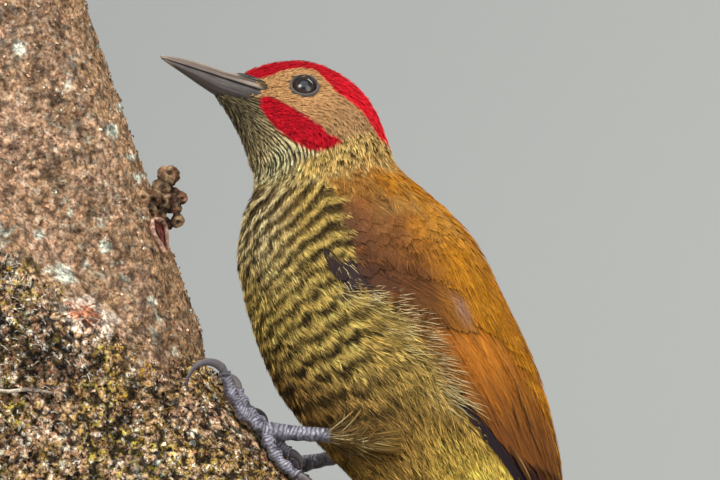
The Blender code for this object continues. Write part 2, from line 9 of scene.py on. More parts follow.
import bpy
import numpy as np
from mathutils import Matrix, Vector


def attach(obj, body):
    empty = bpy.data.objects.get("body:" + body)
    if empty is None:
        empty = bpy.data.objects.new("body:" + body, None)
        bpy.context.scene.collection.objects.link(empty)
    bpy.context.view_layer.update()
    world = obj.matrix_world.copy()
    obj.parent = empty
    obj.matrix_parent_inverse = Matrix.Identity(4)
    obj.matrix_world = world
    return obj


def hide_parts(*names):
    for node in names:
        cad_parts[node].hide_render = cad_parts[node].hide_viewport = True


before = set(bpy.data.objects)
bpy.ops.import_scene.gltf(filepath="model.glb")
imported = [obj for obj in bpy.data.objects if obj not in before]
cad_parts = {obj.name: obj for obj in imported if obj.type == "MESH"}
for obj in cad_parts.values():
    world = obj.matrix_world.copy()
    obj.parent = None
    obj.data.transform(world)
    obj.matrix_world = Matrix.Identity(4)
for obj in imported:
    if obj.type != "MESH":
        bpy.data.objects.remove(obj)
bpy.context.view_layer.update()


# ---------------------------------------------------------------- skin
# The skin of the whole body in one piece, over the head, neck, trunk and thighs. It is a soft
# painted form that the feathers are set into, and lies under them by the depth of the coat.

MM = 0.001
BIRD_AT = np.array((42.0, 0.0, 220.0))
HEAD_PIVOT = np.array((-6.0, 0.0, 34.0))
HEAD_YAW, HEAD_LEAN, BILL_RISE = np.radians((18.0, 10.0, 18.0))

# Cross-sections of the plumage from chin to tail coverts:
# belly x, belly z, back x, back z, half width, share of the head's turn.
OUTLINE = np.array((
    (-39.2, 36.9, -37.6, 38.2, 1.3, 1.0), (-36.3, 33.6, -34.1, 40.2, 2.5, 1.0),
    (-33.9, 30.6, -30.9, 41.5, 3.5, 1.0), (-31.8, 26.9, -26.5, 43.0, 4.9, 1.0),
    (-30.1, 23.3, -21.5, 44.3, 7.2, 1.0), (-28.9, 20.5, -16.0, 44.7, 9.6, 1.0),
    (-28.1, 18.2, -10.2, 43.6, 11.3, 1.0), (-27.4, 16.5, -4.4, 40.7, 12.3, 1.0),
    (-27.0, 15.0, 0.2, 36.9, 13.1, 0.92), (-26.6, 13.7, 3.8, 31.7, 13.6, 0.78),
    (-26.3, 12.7, 6.4, 25.2, 14.3, 0.55), (-26.5, 11.5, 9.1, 18.5, 15.8, 0.3),
    (-27.5, 9.0, 13.5, 14.5, 18.2, 0.12), (-29.0, 5.7, 18.5, 10.2, 20.7, 0.0),
    (-30.2, 1.2, 23.0, 5.5, 23.0, 0.0), (-30.9, -4.2, 27.5, 0.0, 24.8, 0.0),
    (-30.2, -10.0, 31.0, -6.0, 25.8, 0.0), (-28.7, -16.2, 34.0, -12.5, 26.3, 0.0),
    (-26.7, -23.2, 37.2, -19.2, 26.3, 0.0), (-24.0, -30.7, 40.7, -26.5, 25.7, 0.0),
    (-20.2, -38.5, 44.0, -35.0, 24.4, 0.0), (-14.5, -46.2, 46.7, -44.2, 22.4, 0.0),
    (-8.0, -53.7, 48.7, -53.0, 20.0, 0.0), (-2.0, -59.7, 49.7, -61.7, 17.5, 0.0),
    (5.0, -66.2, 50.2, -70.0, 15.0, 0.0), (13.0, -74.0, 50.0, -77.5, 12.4, 0.0),
    (21.0, -81.0, 49.2, -84.5, 9.9, 0.0), (28.5, -86.5, 48.0, -91.0, 8.0, 0.0),
    (34.8, -91.5, 47.0, -96.5, 6.9, 0.0), (39.4, -97.0, 46.0, -100.8, 5.8, 0.0),
    (42.2, -102.0, 44.9, -103.6, 4.2, 0.0)))
BODY_END = len(OUTLINE) - 1


def between(table, at):
    """Rows of a table read at places between its rows, on smooth curves through them."""
    table = np.asarray(table, float)
    at = np.asarray(at, float)
    last = len(table) - 1
    i = np.clip(np.floor(at).astype(int), 0, last - 1)
    u = (at - i)[..., None]
    a, b, c, d = (table[np.clip(i + k, 0, last)] for k in (-1, 0, 1, 2))
    return 0.5 * (2 * b + (c - a) * u + (2 * a - 5 * b + 4 * c - d) * u ** 2
                  + (3 * b - a - 3 * c + d) * u ** 3)


def unit(v):
    return v / np.maximum(np.linalg.norm(v, axis=-1, keepdims=True), 1e-9)


def pairs(rows, columns):
    """Every pair of a row's value and a column's value, as two grids."""
    return np.meshgrid(rows, columns, indexing="ij")


def full_turn(count):
    """Evenly spaced angles once round."""
    return np.linspace(0, 2 * math.pi, count, endpoint=False)


def spun(points, axis, angle):
    """Points turned about an axis through the origin, each by its own angle."""
    axis = np.asarray(axis, float)
    angle = np.broadcast_to(np.asarray(angle, float), points.shape[:-1])
    c, s = np.cos(angle)[..., None], np.sin(angle)[..., None]
    return points * c + np.cross(np.broadcast_to(axis, points.shape), points) * s + (
        axis * (points @ axis)[..., None] * (1 - c))


def turned(points, share):
    """Points of the head's own upright form, put where the turned and leaning head has them."""
    leant = spun(points - HEAD_PIVOT, (-math.cos(BILL_RISE), 0.0, math.sin(BILL_RISE)), HEAD_LEAN * share)
    return HEAD_PIVOT + spun(leant, (0.0, 0.0, 1.0), HEAD_YAW * share)


def on_body(at, ring, out=0.0):
    """Points over the body: at a section number, round it from the middle of the back (0) by the
    left side (0.5) to the belly (1), with the right side below 0, and some way outside it."""
    at, ring, out = np.broadcast_arrays(*(np.asarray(v, float) for v in (at, ring, out)))
    row = between(OUTLINE, at)
    middle = np.stack(((row[..., 0] + row[..., 2]) / 2, 0 * at, (row[..., 1] + row[..., 3]) / 2), -1)
    half = np.stack(((row[..., 2] - row[..., 0]) / 2, 0 * at, (row[..., 3] - row[..., 1]) / 2), -1)
    depth = np.linalg.norm(half, axis=-1)
    c, s = np.cos(math.pi * (0.5 + ring)), np.sin(math.pi * (0.5 + ring))
    points = middle + half * (s * (depth + out) / depth)[..., None]
    points[..., 1] += np.sign(c) * np.abs(c) ** 0.93 * (row[..., 4] + out)
    return BIRD_AT + turned(points, row[..., 5])


def slopes(at, ring, shape=on_body):
    """How a surface point moves with its section and with its way round, and the outward normal."""
    along = (shape(at + 0.05, ring) - shape(at - 0.05, ring)) / 0.1
    around = (shape(at, ring + 0.005) - shape(at, ring - 0.005)) / 0.01
    normal = unit(np.cross(along, around))
    outward = on_body(at, ring, 1.0) - on_body(at, ring, 0.0)
    return along, around, normal * np.sign((normal * outward).sum(-1, keepdims=True))


# The feathered thighs swell the sides of the belly: their middle lines and radii.
THIGHS = {1.0: ((9.0, -17.0, -32.0), (-0.6, -17.0, -48.6)), -1.0: ((9.0, 17.0, -32.0), (6.4, 18.0, -52.6))}
SWELL_AT, SWELL_RING = np.linspace(13.0, 27.0, 113), np.linspace(0.2, 1.0, 81)


def thigh_swell(side):
    """A chart of how far the coat stands out over one thigh, smoothed at its edges."""
    at, ring = pairs(SWELL_AT, SWELL_RING * side)
    base = on_body(at, ring)
    normal = slopes(at, ring)[2]
    hip, heel = (BIRD_AT + np.array(end) for end in THIGHS[side])
    swell = np.zeros(at.shape)
    for share in np.linspace(0.0, 1.0, 15):
        centre = hip + (heel - hip) * share
        radius = 10.2 - 6.4 * share ** 1.6
        away = base - centre
        b = (away * normal).sum(-1)
        inside = b * b - (away * away).sum(-1) + radius ** 2
        swell = np.maximum(swell, np.where(inside > 0, -b + np.sqrt(np.maximum(inside, 0)), 0))
    swell = np.clip(swell, 0.0, 4.5)
    for _ in range(14):
        padded = np.pad(swell, 1, mode="edge")
        swell = (padded[1:-1, 1:-1] * 2 + padded[:-2, 1:-1] + padded[2:, 1:-1]
                 + padded[1:-1, :-2] + padded[1:-1, 2:]) / 6
    return swell


SWELLS = {side: thigh_swell(side) for side in THIGHS}


def swell_at(at, ring):
    """The thigh's swelling at any places, read from the two charts."""
    ring = (np.asarray(ring) + 1.0) % 2.0 - 1.0
    i = np.clip((at - SWELL_AT[0]) / (SWELL_AT[1] - SWELL_AT[0]), 0, len(SWELL_AT) - 1.001)
    j = (np.abs(ring) - SWELL_RING[0]) / (SWELL_RING[1] - SWELL_RING[0])
    j = np.clip(j, 0, len(SWELL_RING) - 1.001)
    i0, j0 = i.astype(int), j.astype(int)
    u, v = i - i0, j - j0
    found = np.zeros(np.shape(i))
    for side, chart in SWELLS.items():
        here = (chart[i0, j0] * (1 - u) * (1 - v) + chart[i0 + 1, j0] * u * (1 - v)
                + chart[i0, j0 + 1] * (1 - u) * v + chart[i0 + 1, j0 + 1] * u * v)
        found = np.where(ring * side > 0, here, found)
    return found


def on_coat(at, ring, out=0.0):
    """Points over the body with its thighs: out is measured from the outline of the coat."""
    at, ring, out = np.broadcast_arrays(*(np.asarray(v, float) for v in (at, ring, out)))
    return on_body(at, ring, out + swell_at(at, ring))


def coat_depth(at, ring):
    """How deep the skin lies under the outline of the coat."""
    deep = np.interp(at, (0, 2, 5, 8, 10, 12, 15, 20, 25, 28, 30),
                     (0.4, 0.7, 0.9, 1.1, 1.6, 2.3, 2.8, 3.0, 2.6, 1.8, 0.9))
    return deep * (0.8 + 0.2 * np.clip(np.abs(ring) * 2, 0, 1))


def hashed(i, j, k, seed):
    """Repeatable random numbers from 0 to 1 at whole-number places."""
    n = (i * 374761393 + j * 668265263 + k * 2147483647 + seed * 1274126177) & 0xFFFFFFFF
    n = ((n ^ (n >> 13)) * 1274126177) & 0xFFFFFFFF
    return ((n ^ (n >> 16)) & 0xFFFF) / 65535.0


def cloud(points, size, seed=0):
    """Smooth random values from -1 to 1 that change over about the given size."""
    p = np.asarray(points, float) / size
    whole = np.floor(p).astype(np.int64)
    f = p - whole
    f = f * f * (3 - 2 * f)
    total = 0.0
    for dx in (0, 1):
        for dy in (0, 1):
            for dz in (0, 1):
                weight = (np.where(dx, f[..., 0], 1 - f[..., 0]) * np.where(dy, f[..., 1], 1 - f[..., 1])
                          * np.where(dz, f[..., 2], 1 - f[..., 2]))
                corner = hashed(whole[..., 0] + dx, whole[..., 1] + dy, whole[..., 2] + dz, seed)
                total = total + weight * corner
    return total * 2 - 1


def paint(red, green, blue):
    """A named paint, given from 0 to 255, as light values."""
    mixed = np.array((red, green, blue), float) / 255
    return np.where(mixed < 0.04045, mixed / 12.92, ((mixed + 0.055) / 1.055) ** 2.4)


def over(ground, colour, mask):
    """One colour laid over others, or over one ground colour, where a mask says."""
    mask = np.clip(np.asarray(mask, float), 0, 1)[..., None]
    return ground * (1 - mask) + np.asarray(colour) * mask


def rise(value, low, high):
    """0 below low, 1 above high and smooth between."""
    t = np.clip((np.asarray(value, float) - low) / (high - low), 0, 1)
    return t * t * (3 - 2 * t)


# Edges of the markings on the head, as (section, way round from the back).
CROWN_EDGE = ((1.6, 0.30), (2.2, 0.33), (3.5, 0.30), (4.3, 0.25), (5.2, 0.22), (5.8, 0.22), (6.4, 0.285),
              (7.0, 0.32), (7.7, 0.31), (8.5, 0.28), (9.3, 0.24), (10.0, 0.19), (10.35, 0.06))
MALAR_TOP = ((3.2, 0.51), (3.5, 0.50), (3.9, 0.486), (5.1, 0.521), (6.2, 0.534), (7.2, 0.531), (8.5, 0.506),
             (9.3, 0.449), (9.5, 0.44))
MALAR_LOW = ((3.2, 0.55), (3.6, 0.60), (4.5, 0.658), (5.6, 0.682), (7.2, 0.675), (8.5, 0.631), (9.2, 0.578),
             (9.4, 0.504), (9.5, 0.44))
FACE_END = ((0.0, 10.4), (0.2, 10.0), (0.3, 9.6), (0.44, 9.2), (0.6, 8.8))
WING_FRONT = ((10.6, 0.56), (11.5, 0.53), (12.5, 0.513), (15.4, 0.515), (16.7, 0.517), (17.0, 0.477),
              (17.5, 0.445), (18.3, 0.425), (19.0, 0.415), (19.7, 0.408), (20.3, 0.392), (20.8, 0.37),
              (21.3, 0.348), (21.9, 0.325), (22.5, 0.30), (23.2, 0.255), (24.2, 0.19), (25.5, 0.12))
SCARLET, DEEP_RED, SLATE, LORES = paint(222, 18, 38), paint(170, 10, 30), paint(84, 86, 90), paint(70, 66, 62)
BUFF, EAR_GREY = paint(210, 160, 106), paint(188, 146, 98)
THROAT_PALE, THROAT_DARK = paint(238, 220, 172), paint(34, 30, 24)
NECK_PALE, NECK_DARK = paint(228, 190, 112), paint(84, 56, 24)
STRAW, WHITISH, DUN, BAR_DARK = (
    paint(214, 182, 98), paint(244, 222, 168), paint(96, 72, 36), paint(34, 26, 14))
OLIVE, BELLY, VENT = paint(150, 118, 56), paint(148, 112, 58), paint(222, 184, 82)
GOLD, BRONZE, UMBER = paint(190, 126, 22), paint(154, 92, 32), paint(118, 74, 38)


def edge_of(table, at):
    return np.interp(at, *zip(*table))


def bar_count(place):
    """Which bar a place on the underside lies in, and how far it lies along it. Bars rise towards
    the wing, steepest and closest together at the front of the breast."""
    x, z = place[..., 0] - BIRD_AT[0], place[..., 2] - BIRD_AT[2]
    kept = np.minimum(x, 0.1 * z - 9.0)
    bow = kept * (2.0 * x - kept)
    return 0.047 * x - 0.0051 * bow + 0.0031 * x * z - 0.18 * z - 0.0005 * z * z, 0.72 * x + 0.70 * z


def underside_colour(at, side, place, blotch, shift):
    """Straw and dark bars, paler and finer at the upper breast, fading on the belly."""
    bars, reach = bar_count(place)
    upper = 1 - rise(at, 13.0, 16.5)
    lane = reach / (5.2 + 6.3 * upper) + 0.4 * cloud(np.stack((reach / 9, bars / 3, 0 * reach), -1), 1.0, 9)
    step = np.floor(lane)
    whole = step.astype(np.int64)
    slip = hashed(whole, np.floor(bars / 3).astype(np.int64), 0 * whole, 11) - 0.5
    bars = (bars + (0.32 + 0.26 * (1 - upper)) * slip + 0.09 * np.cos(2 * math.pi * (lane - step))
            + 0.10 * blotch + 0.02 * shift)
    part = bars - np.floor(bars)
    pale_part = 0.50 - 0.12 * upper
    dark = rise(part, pale_part - 0.07, pale_part + 0.03) * (1 - rise(part, 0.93, 1.0))
    seam = 1 - rise(np.minimum(lane - step, 1 - lane + step), 0.0, 0.12)
    dark = dark * (1 - 0.5 * seam * (1 - upper))
    deep = dark * (1 - upper * 0.75 * rise(part, pale_part + 0.18, pale_part + 0.34))
    fade = 1 - rise(at + 5.0 * (0.78 - side) + 0.8 * blotch, 19.2, 23.6)
    fade = fade * rise(side - edge_of(WING_FRONT, at), 0.0, 0.015)
    fade = fade * (1 - 0.7 * rise(at, 15.0, 18.0) * (1 - rise(side, 0.50, 0.60)))
    patchy = 0.9 + 0.45 * cloud(np.stack((reach / 4, bars / 1.2, 0 * reach), -1), 1.0, 21)
    base = over(STRAW, WHITISH, 0.85 * rise(side, 0.60, 0.80) * (1 - rise(at, 13.5, 17.5)))
    base = over(base, BELLY, rise(at + 3 * (side - 0.7), 18.0, 21.0))
    base = over(base, OLIVE, 0.5 * rise(0.62 - side, 0.0, 0.12) * rise(at, 16.5, 18.5))
    base = over(base, VENT, rise(at, 20.5, 23.0) * (1 - 0.8 * rise(side, 0.42, 0.64)))
    colour = over(base, DUN, dark * np.clip(fade, 0, 0.9))
    return over(colour, BAR_DARK, deep * np.clip(fade * patchy, 0, 0.93))


def throat_colour(at, ring, chance):
    """Pale and blackish streaks side by side, darkest at the chin."""
    lines = ring * 46 + 0.5 * cloud(np.stack((ring * 18, at / 1.8, 0 * at), -1), 1.0, 31)
    streak = 0.55 * np.sin(2 * math.pi * lines) + 0.6 * (chance - 0.5)
    throat = over(THROAT_PALE, THROAT_DARK, 0.96 * rise(streak + 0.12 * (6.0 - at) / 6.0, -0.14, 0.08))
    throat = throat * (0.62 + 0.62 * rise(at, 3.0, 8.0))[..., None] * (1, 0.97, 0.86)
    throat = over(throat, paint(112, 92, 58), 0.35 * (1 - rise(at, 4.5, 7.5)))
    throat = over(throat, NECK_PALE, 0.3 * rise(at, 8.0, 10.5))
    return over(throat, THROAT_DARK, 0.55 * (1 - rise(at, 2.2, 5.0)))


def neck_colour(side, chance, along):
    """Small dark feathers with pale yellow tips."""
    scale = over(NECK_DARK, NECK_PALE, rise(along + 0.5 * (chance - 0.5), 0.35, 0.75))
    return over(scale, STRAW, 0.45 * rise(side, 0.45, 0.65))


def back_colour(at, side, blotch, fine):
    """A golden back, browner and duller over the wings."""
    back = over(GOLD, BRONZE, rise(side + 0.08 * blotch, 0.18, 0.42))
    dull = 0.85 * rise(side + 0.05 * blotch, 0.26, 0.40)
    back = over(back, UMBER, dull * (1 - rise(at, 17.5, 20.0)) * rise(at, 11.8, 13.8))
    back = over(back, OLIVE, 0.45 * rise(blotch + 0.4 * fine, 0.0, 0.8) * (1 - rise(at, 13.5, 17.0)))
    return back * (1 + 0.16 * blotch[..., None] + 0.12 * fine[..., None])


def with_face(colour, at, side, near, fine):
    """The buff face, the red malar patch and border of the crown, and its slate middle."""
    below_face = near - edge_of(MALAR_TOP, at)
    face = (rise(edge_of(FACE_END, side) - at + 0.18 * fine, -0.15, 0.15)
            * (1 - rise(below_face, -0.01, 0.012)))
    bare = over(BUFF, EAR_GREY, rise(at, 6.3, 8.6) * 0.85) * (1 + 0.10 * fine[..., None])
    colour = over(colour, bare, face)
    patch = rise(below_face, -0.008, 0.008) * (1 - rise(near - edge_of(MALAR_LOW, at), -0.008, 0.008))
    patch = patch * rise(at, 3.25, 3.55) * (1 - rise(at, 9.35, 9.55))
    colour = over(colour, over(SCARLET, DEEP_RED, 0.55 + 0.4 * fine), patch)
    crown = (1 - rise(near - edge_of(CROWN_EDGE, at), -0.008, 0.010)) * rise(at, 1.85, 2.15)
    crown = crown * (1 - rise(at, 10.2, 10.5))
    # The red is darker at the forehead and brighter towards the nape: painted shade and painted light.
    red = over(SCARLET, DEEP_RED, 0.25 + 0.3 * fine) * (0.84 + 0.48 * rise(at, 5.0, 9.0))[..., None]
    colour = over(colour, red, crown)
    middle = (1 - rise(side, 0.055, 0.085)) * rise(at, 3.8, 4.6) * (1 - rise(at, 8.2, 9.0))
    colour = over(colour, SLATE, middle)
    lores = rise(1.95 - at, 0, 0.3) * (1 - rise(side, 0.42, 0.5))
    return over(colour, LORES, lores)


def markings(at, ring, chance, along, shift=0.0):
    """The colours of the coat. Chance differs from feather to feather, along runs from its root
    to its tip, and shift moves the markings a little on each feather."""
    ring = (ring + 1.0) % 2.0 - 1.0
    side = np.abs(ring)
    at = np.asarray(at, float) + shift * 0.09
    near = side + shift * 0.006
    place = on_body(at, ring)
    blotch, fine = cloud(place, 6.0, 3), cloud(place, 1.5, 5)
    colour = underside_colour(at, side, place, blotch, shift)
    below = rise(at + 1.2 * (side - 0.8) + 0.4 * fine, 10.0, 11.4)
    colour = over(throat_colour(at, ring, chance), colour, below)
    neck = (rise(at + 0.3 * fine, 9.0, 9.5) * (1 - rise(at + 0.25 * fine, 10.5, 11.3))
            * (1 - rise(side, 0.6, 0.74)))
    colour = over(colour, neck_colour(side, chance, along), neck)
    ragged = near - edge_of(WING_FRONT, at) + 0.02 * fine * (1 - rise(at, 15.0, 16.0))
    on_back = rise(at + 0.5 * fine, 10.4, 11.6) * (1 - rise(ragged, -0.025, 0.010))
    colour = over(colour, back_colour(at, side, blotch, fine), on_back)
    return with_face(colour, at, side, near, fine)


def add_piece(name, points, faces, finish, values=None, tints=None, layout=None, smooth=True):
    """One mesh object from points in millimetres and arrays of corner numbers. Values and tints
    are named numbers and colours for each point, and layout is its place in the flat unwrap."""
    mesh = bpy.data.meshes.new(name)
    corners = np.concatenate([np.asarray(f, np.int32).ravel() for f in faces])
    sizes = np.concatenate([np.full(len(f), np.shape(f)[1], np.int32) for f in faces])
    mesh.vertices.add(len(points))
    mesh.vertices.foreach_set("co", (np.asarray(points) * MM).astype(np.float32).ravel())
    mesh.loops.add(len(corners))
    mesh.loops.foreach_set("vertex_index", corners)
    mesh.polygons.add(len(sizes))
    mesh.polygons.foreach_set("loop_start", np.concatenate(((0,), np.cumsum(sizes)[:-1])).astype(np.int32))
    mesh.polygons.foreach_set("loop_total", sizes)
    if layout is not None:
        flat = mesh.uv_layers.new(name="OFBake")
        flat.data.foreach_set("uv", np.asarray(layout, np.float32)[corners].ravel())
    for key, numbers in (values or {}).items():
        data = mesh.attributes.new(key, "FLOAT", "POINT").data
        data.foreach_set("value", np.asarray(numbers, np.float32).ravel())
    for key, colours in (tints or {}).items():
        four = np.concatenate((colours, np.ones((len(colours), 1))), axis=1).astype(np.float32)
        mesh.attributes.new(key, "FLOAT_COLOR", "POINT").data.foreach_set("color", four.ravel())
    mesh.update(calc_edges=True)
    mesh.validate()
    if smooth:
        mesh.shade_smooth()
    mesh.materials.append(finish)
    made = bpy.data.objects.new(name, mesh)
    bpy.context.scene.collection.objects.link(made)
    return made


def show(piece, slot, *replaced):
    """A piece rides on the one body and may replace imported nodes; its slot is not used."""
    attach(piece, "root")
    if replaced:
        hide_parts(*replaced)


def grid_faces(rows, columns, wrap=False):
    """Four-cornered faces over a grid of points, closed round its columns if asked."""
    i, j = pairs(np.arange(rows - 1), np.arange(columns if wrap else columns - 1))
    k = (j + 1) % columns
    row, below = i * columns, (i + 1) * columns
    return np.stack((row + j, row + k, below + k, below + j), -1).reshape(-1, 4)


def new_finish(name):
    """A new material, its node tree and its shader."""
    made = bpy.data.materials.new(name)
    made.use_nodes = True
    return made, made.node_tree, made.node_tree.nodes["Principled BSDF"]


def feed(made, inputs):
    """Set a node's inputs to values, or join them to output sockets."""
    for key, value in inputs.items():
        if isinstance(value, bpy.types.NodeSocket):
            made.id_data.links.new(value, made.inputs[key])
        else:
            made.inputs[key].default_value = value


def node(tree, kind, inputs=None, **settings):
    """A new shader node, with its inputs fed."""
    made = tree.nodes.new(kind)
    for key, value in settings.items():
        setattr(made, key, value)
    feed(made, inputs or {})
    return made


def attribute(tree, key, socket="Fac"):
    return node(tree, "ShaderNodeAttribute", attribute_name=key).outputs[socket]


def noise(tree, scale, detail, socket=0, **inputs):
    made = node(tree, "ShaderNodeTexNoise", {"Scale": scale, "Detail": detail, **inputs})
    return made.outputs[socket]


def spread(tree, value, low, high, first=0.0, last=1.0):
    """A value from low to high, spread from first to last."""
    return node(tree, "ShaderNodeMapRange", {0: value, 1: low, 2: high, 3: first, 4: last}).outputs[0]


def scaled(tree, vector, level):
    return node(tree, "ShaderNodeVectorMath", {0: vector, 3: level}, operation="SCALE").outputs[0]


def bump(tree, strength, distance, height):
    return node(tree, "ShaderNodeBump",
                {"Strength": strength, "Distance": distance, "Height": height}).outputs[0]


def math_node(tree, operation, *inputs, clamp=False):
    made = node(tree, "ShaderNodeMath", dict(enumerate(inputs)), operation=operation, use_clamp=clamp)
    return made.outputs[0]


def mixed(tree, factor, first, second, blend="MIX"):
    made = node(tree, "ShaderNodeMix", {0: factor, 6: first, 7: second}, data_type="RGBA", blend_type=blend)
    return made.outputs[2]


def group_of(name, inputs, outputs):
    """A node group with named sockets, and its inner nodes to build on."""
    tree = bpy.data.node_groups.new(name, "ShaderNodeTree")
    for label, kind, start in inputs:
        socket = tree.interface.new_socket(name=label, in_out="INPUT", socket_type=kind)
        socket.default_value = start
    for label, kind in outputs:
        tree.interface.new_socket(name=label, in_out="OUTPUT", socket_type=kind)
    return tree, tree.nodes.new("NodeGroupInput").outputs, tree.nodes.new("NodeGroupOutput").inputs


def make_barb_streaks():
    """The fine slanting barbs of a feather: streaks in its colour and a soft relief."""
    tree, given, result = group_of(
        "barb_streaks",
        (("Colour", "NodeSocketColor", (0.5, 0.4, 0.2, 1)), ("Along", "NodeSocketFloat", 0.5),
         ("Across", "NodeSocketFloat", 0.0), ("Chance", "NodeSocketFloat", 0.5),
         ("Barbs", "NodeSocketFloat", 40.0), ("Slant", "NodeSocketFloat", 0.4),
         ("Contrast", "NodeSocketFloat", 0.25)),
        (("Colour", "NodeSocketColor"), ("Height", "NodeSocketFloat")))
    aside = math_node(tree, "ABSOLUTE", given["Across"])
    lean = math_node(tree, "MULTIPLY", aside, given["Slant"])
    run = math_node(tree, "SUBTRACT", given["Along"], lean)
    steps = math_node(tree, "MULTIPLY", run, given["Barbs"])
    place = node(tree, "ShaderNodeCombineXYZ", {
        0: steps, 1: math_node(tree, "MULTIPLY", given["Across"], 1.6),
        2: math_node(tree, "MULTIPLY", given["Chance"], 91.0)}).outputs[0]
    grain = noise(tree, 1.0, 3.0, Vector=place, Roughness=0.65)
    level = spread(tree, grain, 0.3, 0.7, -1.0, 1.0)
    gain = math_node(tree, "ADD", math_node(tree, "MULTIPLY", level, given["Contrast"]), 1.0)
    tree.links.new(scaled(tree, given["Colour"], gain), result["Colour"])
    tree.links.new(grain, result["Height"])
    return tree


BARB_STREAKS = make_barb_streaks()


def feather_finish(name, barbs, slant, contrast, relief, rough):
    """A feathered finish: the painted markings with barb streaks over them."""
    made, tree, shader = new_finish(name)
    streaks = tree.nodes.new("ShaderNodeGroup")
    streaks.node_tree = BARB_STREAKS
    feed(streaks, {"Barbs": barbs, "Slant": slant, "Contrast": contrast})
    feed(streaks, {key.title(): attribute(tree, key) for key in ("along", "across", "chance")})
    feed(streaks, {"Colour": attribute(tree, "plume", "Color")})
    feed(shader, {"Base Color": streaks.outputs["Colour"], "Roughness": rough, "Specular IOR Level": 0.18,
                  "Normal": bump(tree, relief, 0.0002, streaks.outputs["Height"])})
    return made


SKIN_FINISH = feather_finish("skin_under_coat", 400.0, 0.0, 0.2, 0.3, 0.8)
SKIN_ROWS, SKIN_COLUMNS, SKIN_SHADE = 251, 145, 0.55


def make_skin():
    """The skin, closed by a fan of triangles at the chin and at the tail."""
    at, ring = pairs(np.linspace(0.02, BODY_END - 0.02, SKIN_ROWS), np.linspace(-1.0, 1.0, SKIN_COLUMNS))
    points = on_coat(at, ring, -coat_depth(at, ring))
    points = np.concatenate((points.reshape(-1, 3), points[0].mean(0)[None], points[-1].mean(0)[None]))
    at, ring = np.append(at.ravel(), (0.0, BODY_END)), np.append(ring.ravel(), (0.0, 0.0))
    first, count = np.arange(SKIN_COLUMNS - 1), SKIN_ROWS * SKIN_COLUMNS
    last = first + count - SKIN_COLUMNS
    faces = [grid_faces(SKIN_ROWS, SKIN_COLUMNS),
             np.stack((first + 1, first, np.full(len(first), count)), -1),
             np.stack((last, last + 1, np.full(len(first), count + 1)), -1)]
    even = np.full(len(at), 0.5)
    skin = add_piece("skin", points, faces, SKIN_FINISH,
                     {"along": at / BODY_END, "across": ring, "chance": even},
                     {"plume": markings(at, ring, even, even) * SKIN_SHADE},
                     np.stack((ring / 2 + 0.5, at / BODY_END), -1))
    show(skin, "plumage", "head", "neck", "trunk", "thigh_left", "thigh_right")


make_skin()


# ---------------------------------------------------------------- coat
# The small feathers of the head, neck, breast, belly, flanks and back. Each is a thin vane, or a
# fan of soft separate barbs, or both, set into the skin and lying back along the body over the
# roots of those behind it.

LARGEST_PIECE = 190000  # triangles
PATCH = 0.003  # how far a feather's own patch of the flat unwrap reaches
EVEN_STEPS = (0.7548776662466927, 0.5698402909980532)  # steps that fill a square evenly


def lie_of(at, side):
    """How far the feathers turn from straight back along the body towards the back."""
    girth = 84.0 * (1.0 - side)
    below = rise(at, 10.2, 12.5) * rise(girth, 0.0, 16.0) * rise(side, 0.36, 0.52)
    flank = (rise(at, 14.5, 16.5) * (1 - rise(at, 18.0, 19.6)) * (1 - rise(side, 0.5, 0.68))
             * rise(side, 0.38, 0.45))
    low_flank = rise(at, 18.0, 20.0) * (1 - rise(side, 0.5, 0.75))
    return np.radians(
        34.0 * below * (1 - 0.45 * rise(at, 19.0, 22.0)) * (1 - 0.95 * low_flank) + 30.0 * flank)


def sown(weight, start, end, seed, low=-1.0, high=1.0):
    """Evenly scattered places: weight gives how many feathers there are to a square millimetre."""
    at, ring = np.linspace(start, end, 161), np.linspace(low, high, 241)
    at_grid, ring_grid = pairs((at[1:] + at[:-1]) / 2, (ring[1:] + ring[:-1]) / 2)
    along, around = slopes(at_grid, ring_grid)[:2]
    area = np.linalg.norm(np.cross(along, around), axis=-1) * (at[1] - at[0]) * (ring[1] - ring[0])
    wanted = area * weight(at_grid, ring_grid)
    rows = wanted.sum(1)
    count = int(rows.sum())
    n = np.arange(count)
    u = (0.5 + 0.137 * seed + n * EVEN_STEPS[0]) % 1.0
    v = (0.5 + 0.311 * seed + n * EVEN_STEPS[1]) % 1.0
    level = u * rows.sum()
    edges = np.concatenate(((0,), np.cumsum(rows)))
    i = np.clip(np.searchsorted(edges, level) - 1, 0, len(rows) - 1)
    found_at = at[i] + (at[1] - at[0]) * (level - edges[i]) / np.maximum(rows[i], 1e-9)
    across = (np.concatenate((np.zeros((len(rows), 1)), np.cumsum(wanted, 1)), 1)
              / np.maximum(rows, 1e-9)[:, None])
    j = np.clip((across[i] < v[:, None]).sum(1) - 1, 0, across.shape[1] - 2)
    part = (v - across[i, j]) / np.maximum(across[i, j + 1] - across[i, j], 1e-9)
    return found_at, ring[j] + (ring[1] - ring[0]) * part


def marched(at, ring, turn, length, steps=6):
    """The way a feather lies from its root: places over the body at even steps."""
    ats, rings = [at], [ring]
    for _ in range(steps):
        along, around = slopes(ats[-1], rings[-1])[:2]
        side = np.sign((rings[-1] + 1) % 2 - 1)
        reach_at = np.maximum(np.linalg.norm(along, axis=-1), 1.2)
        reach_ring = np.maximum(np.linalg.norm(around, axis=-1), 6.0)
        ats.append(np.minimum(ats[-1] + length / steps * np.cos(turn) / reach_at, 29.9))
        rings.append(rings[-1] - side * length / steps * np.sin(turn) / reach_ring)
    return np.stack(ats, 1), np.stack(rings, 1)


def height_line(depth, tip, steps=6):
    """Heights along feathers that leave the skin at their roots and lie flat to their tips."""
    t = np.linspace(0, 1, steps + 1)
    return tip[:, None] - (depth + tip)[:, None] * (1 - t) ** 1.7


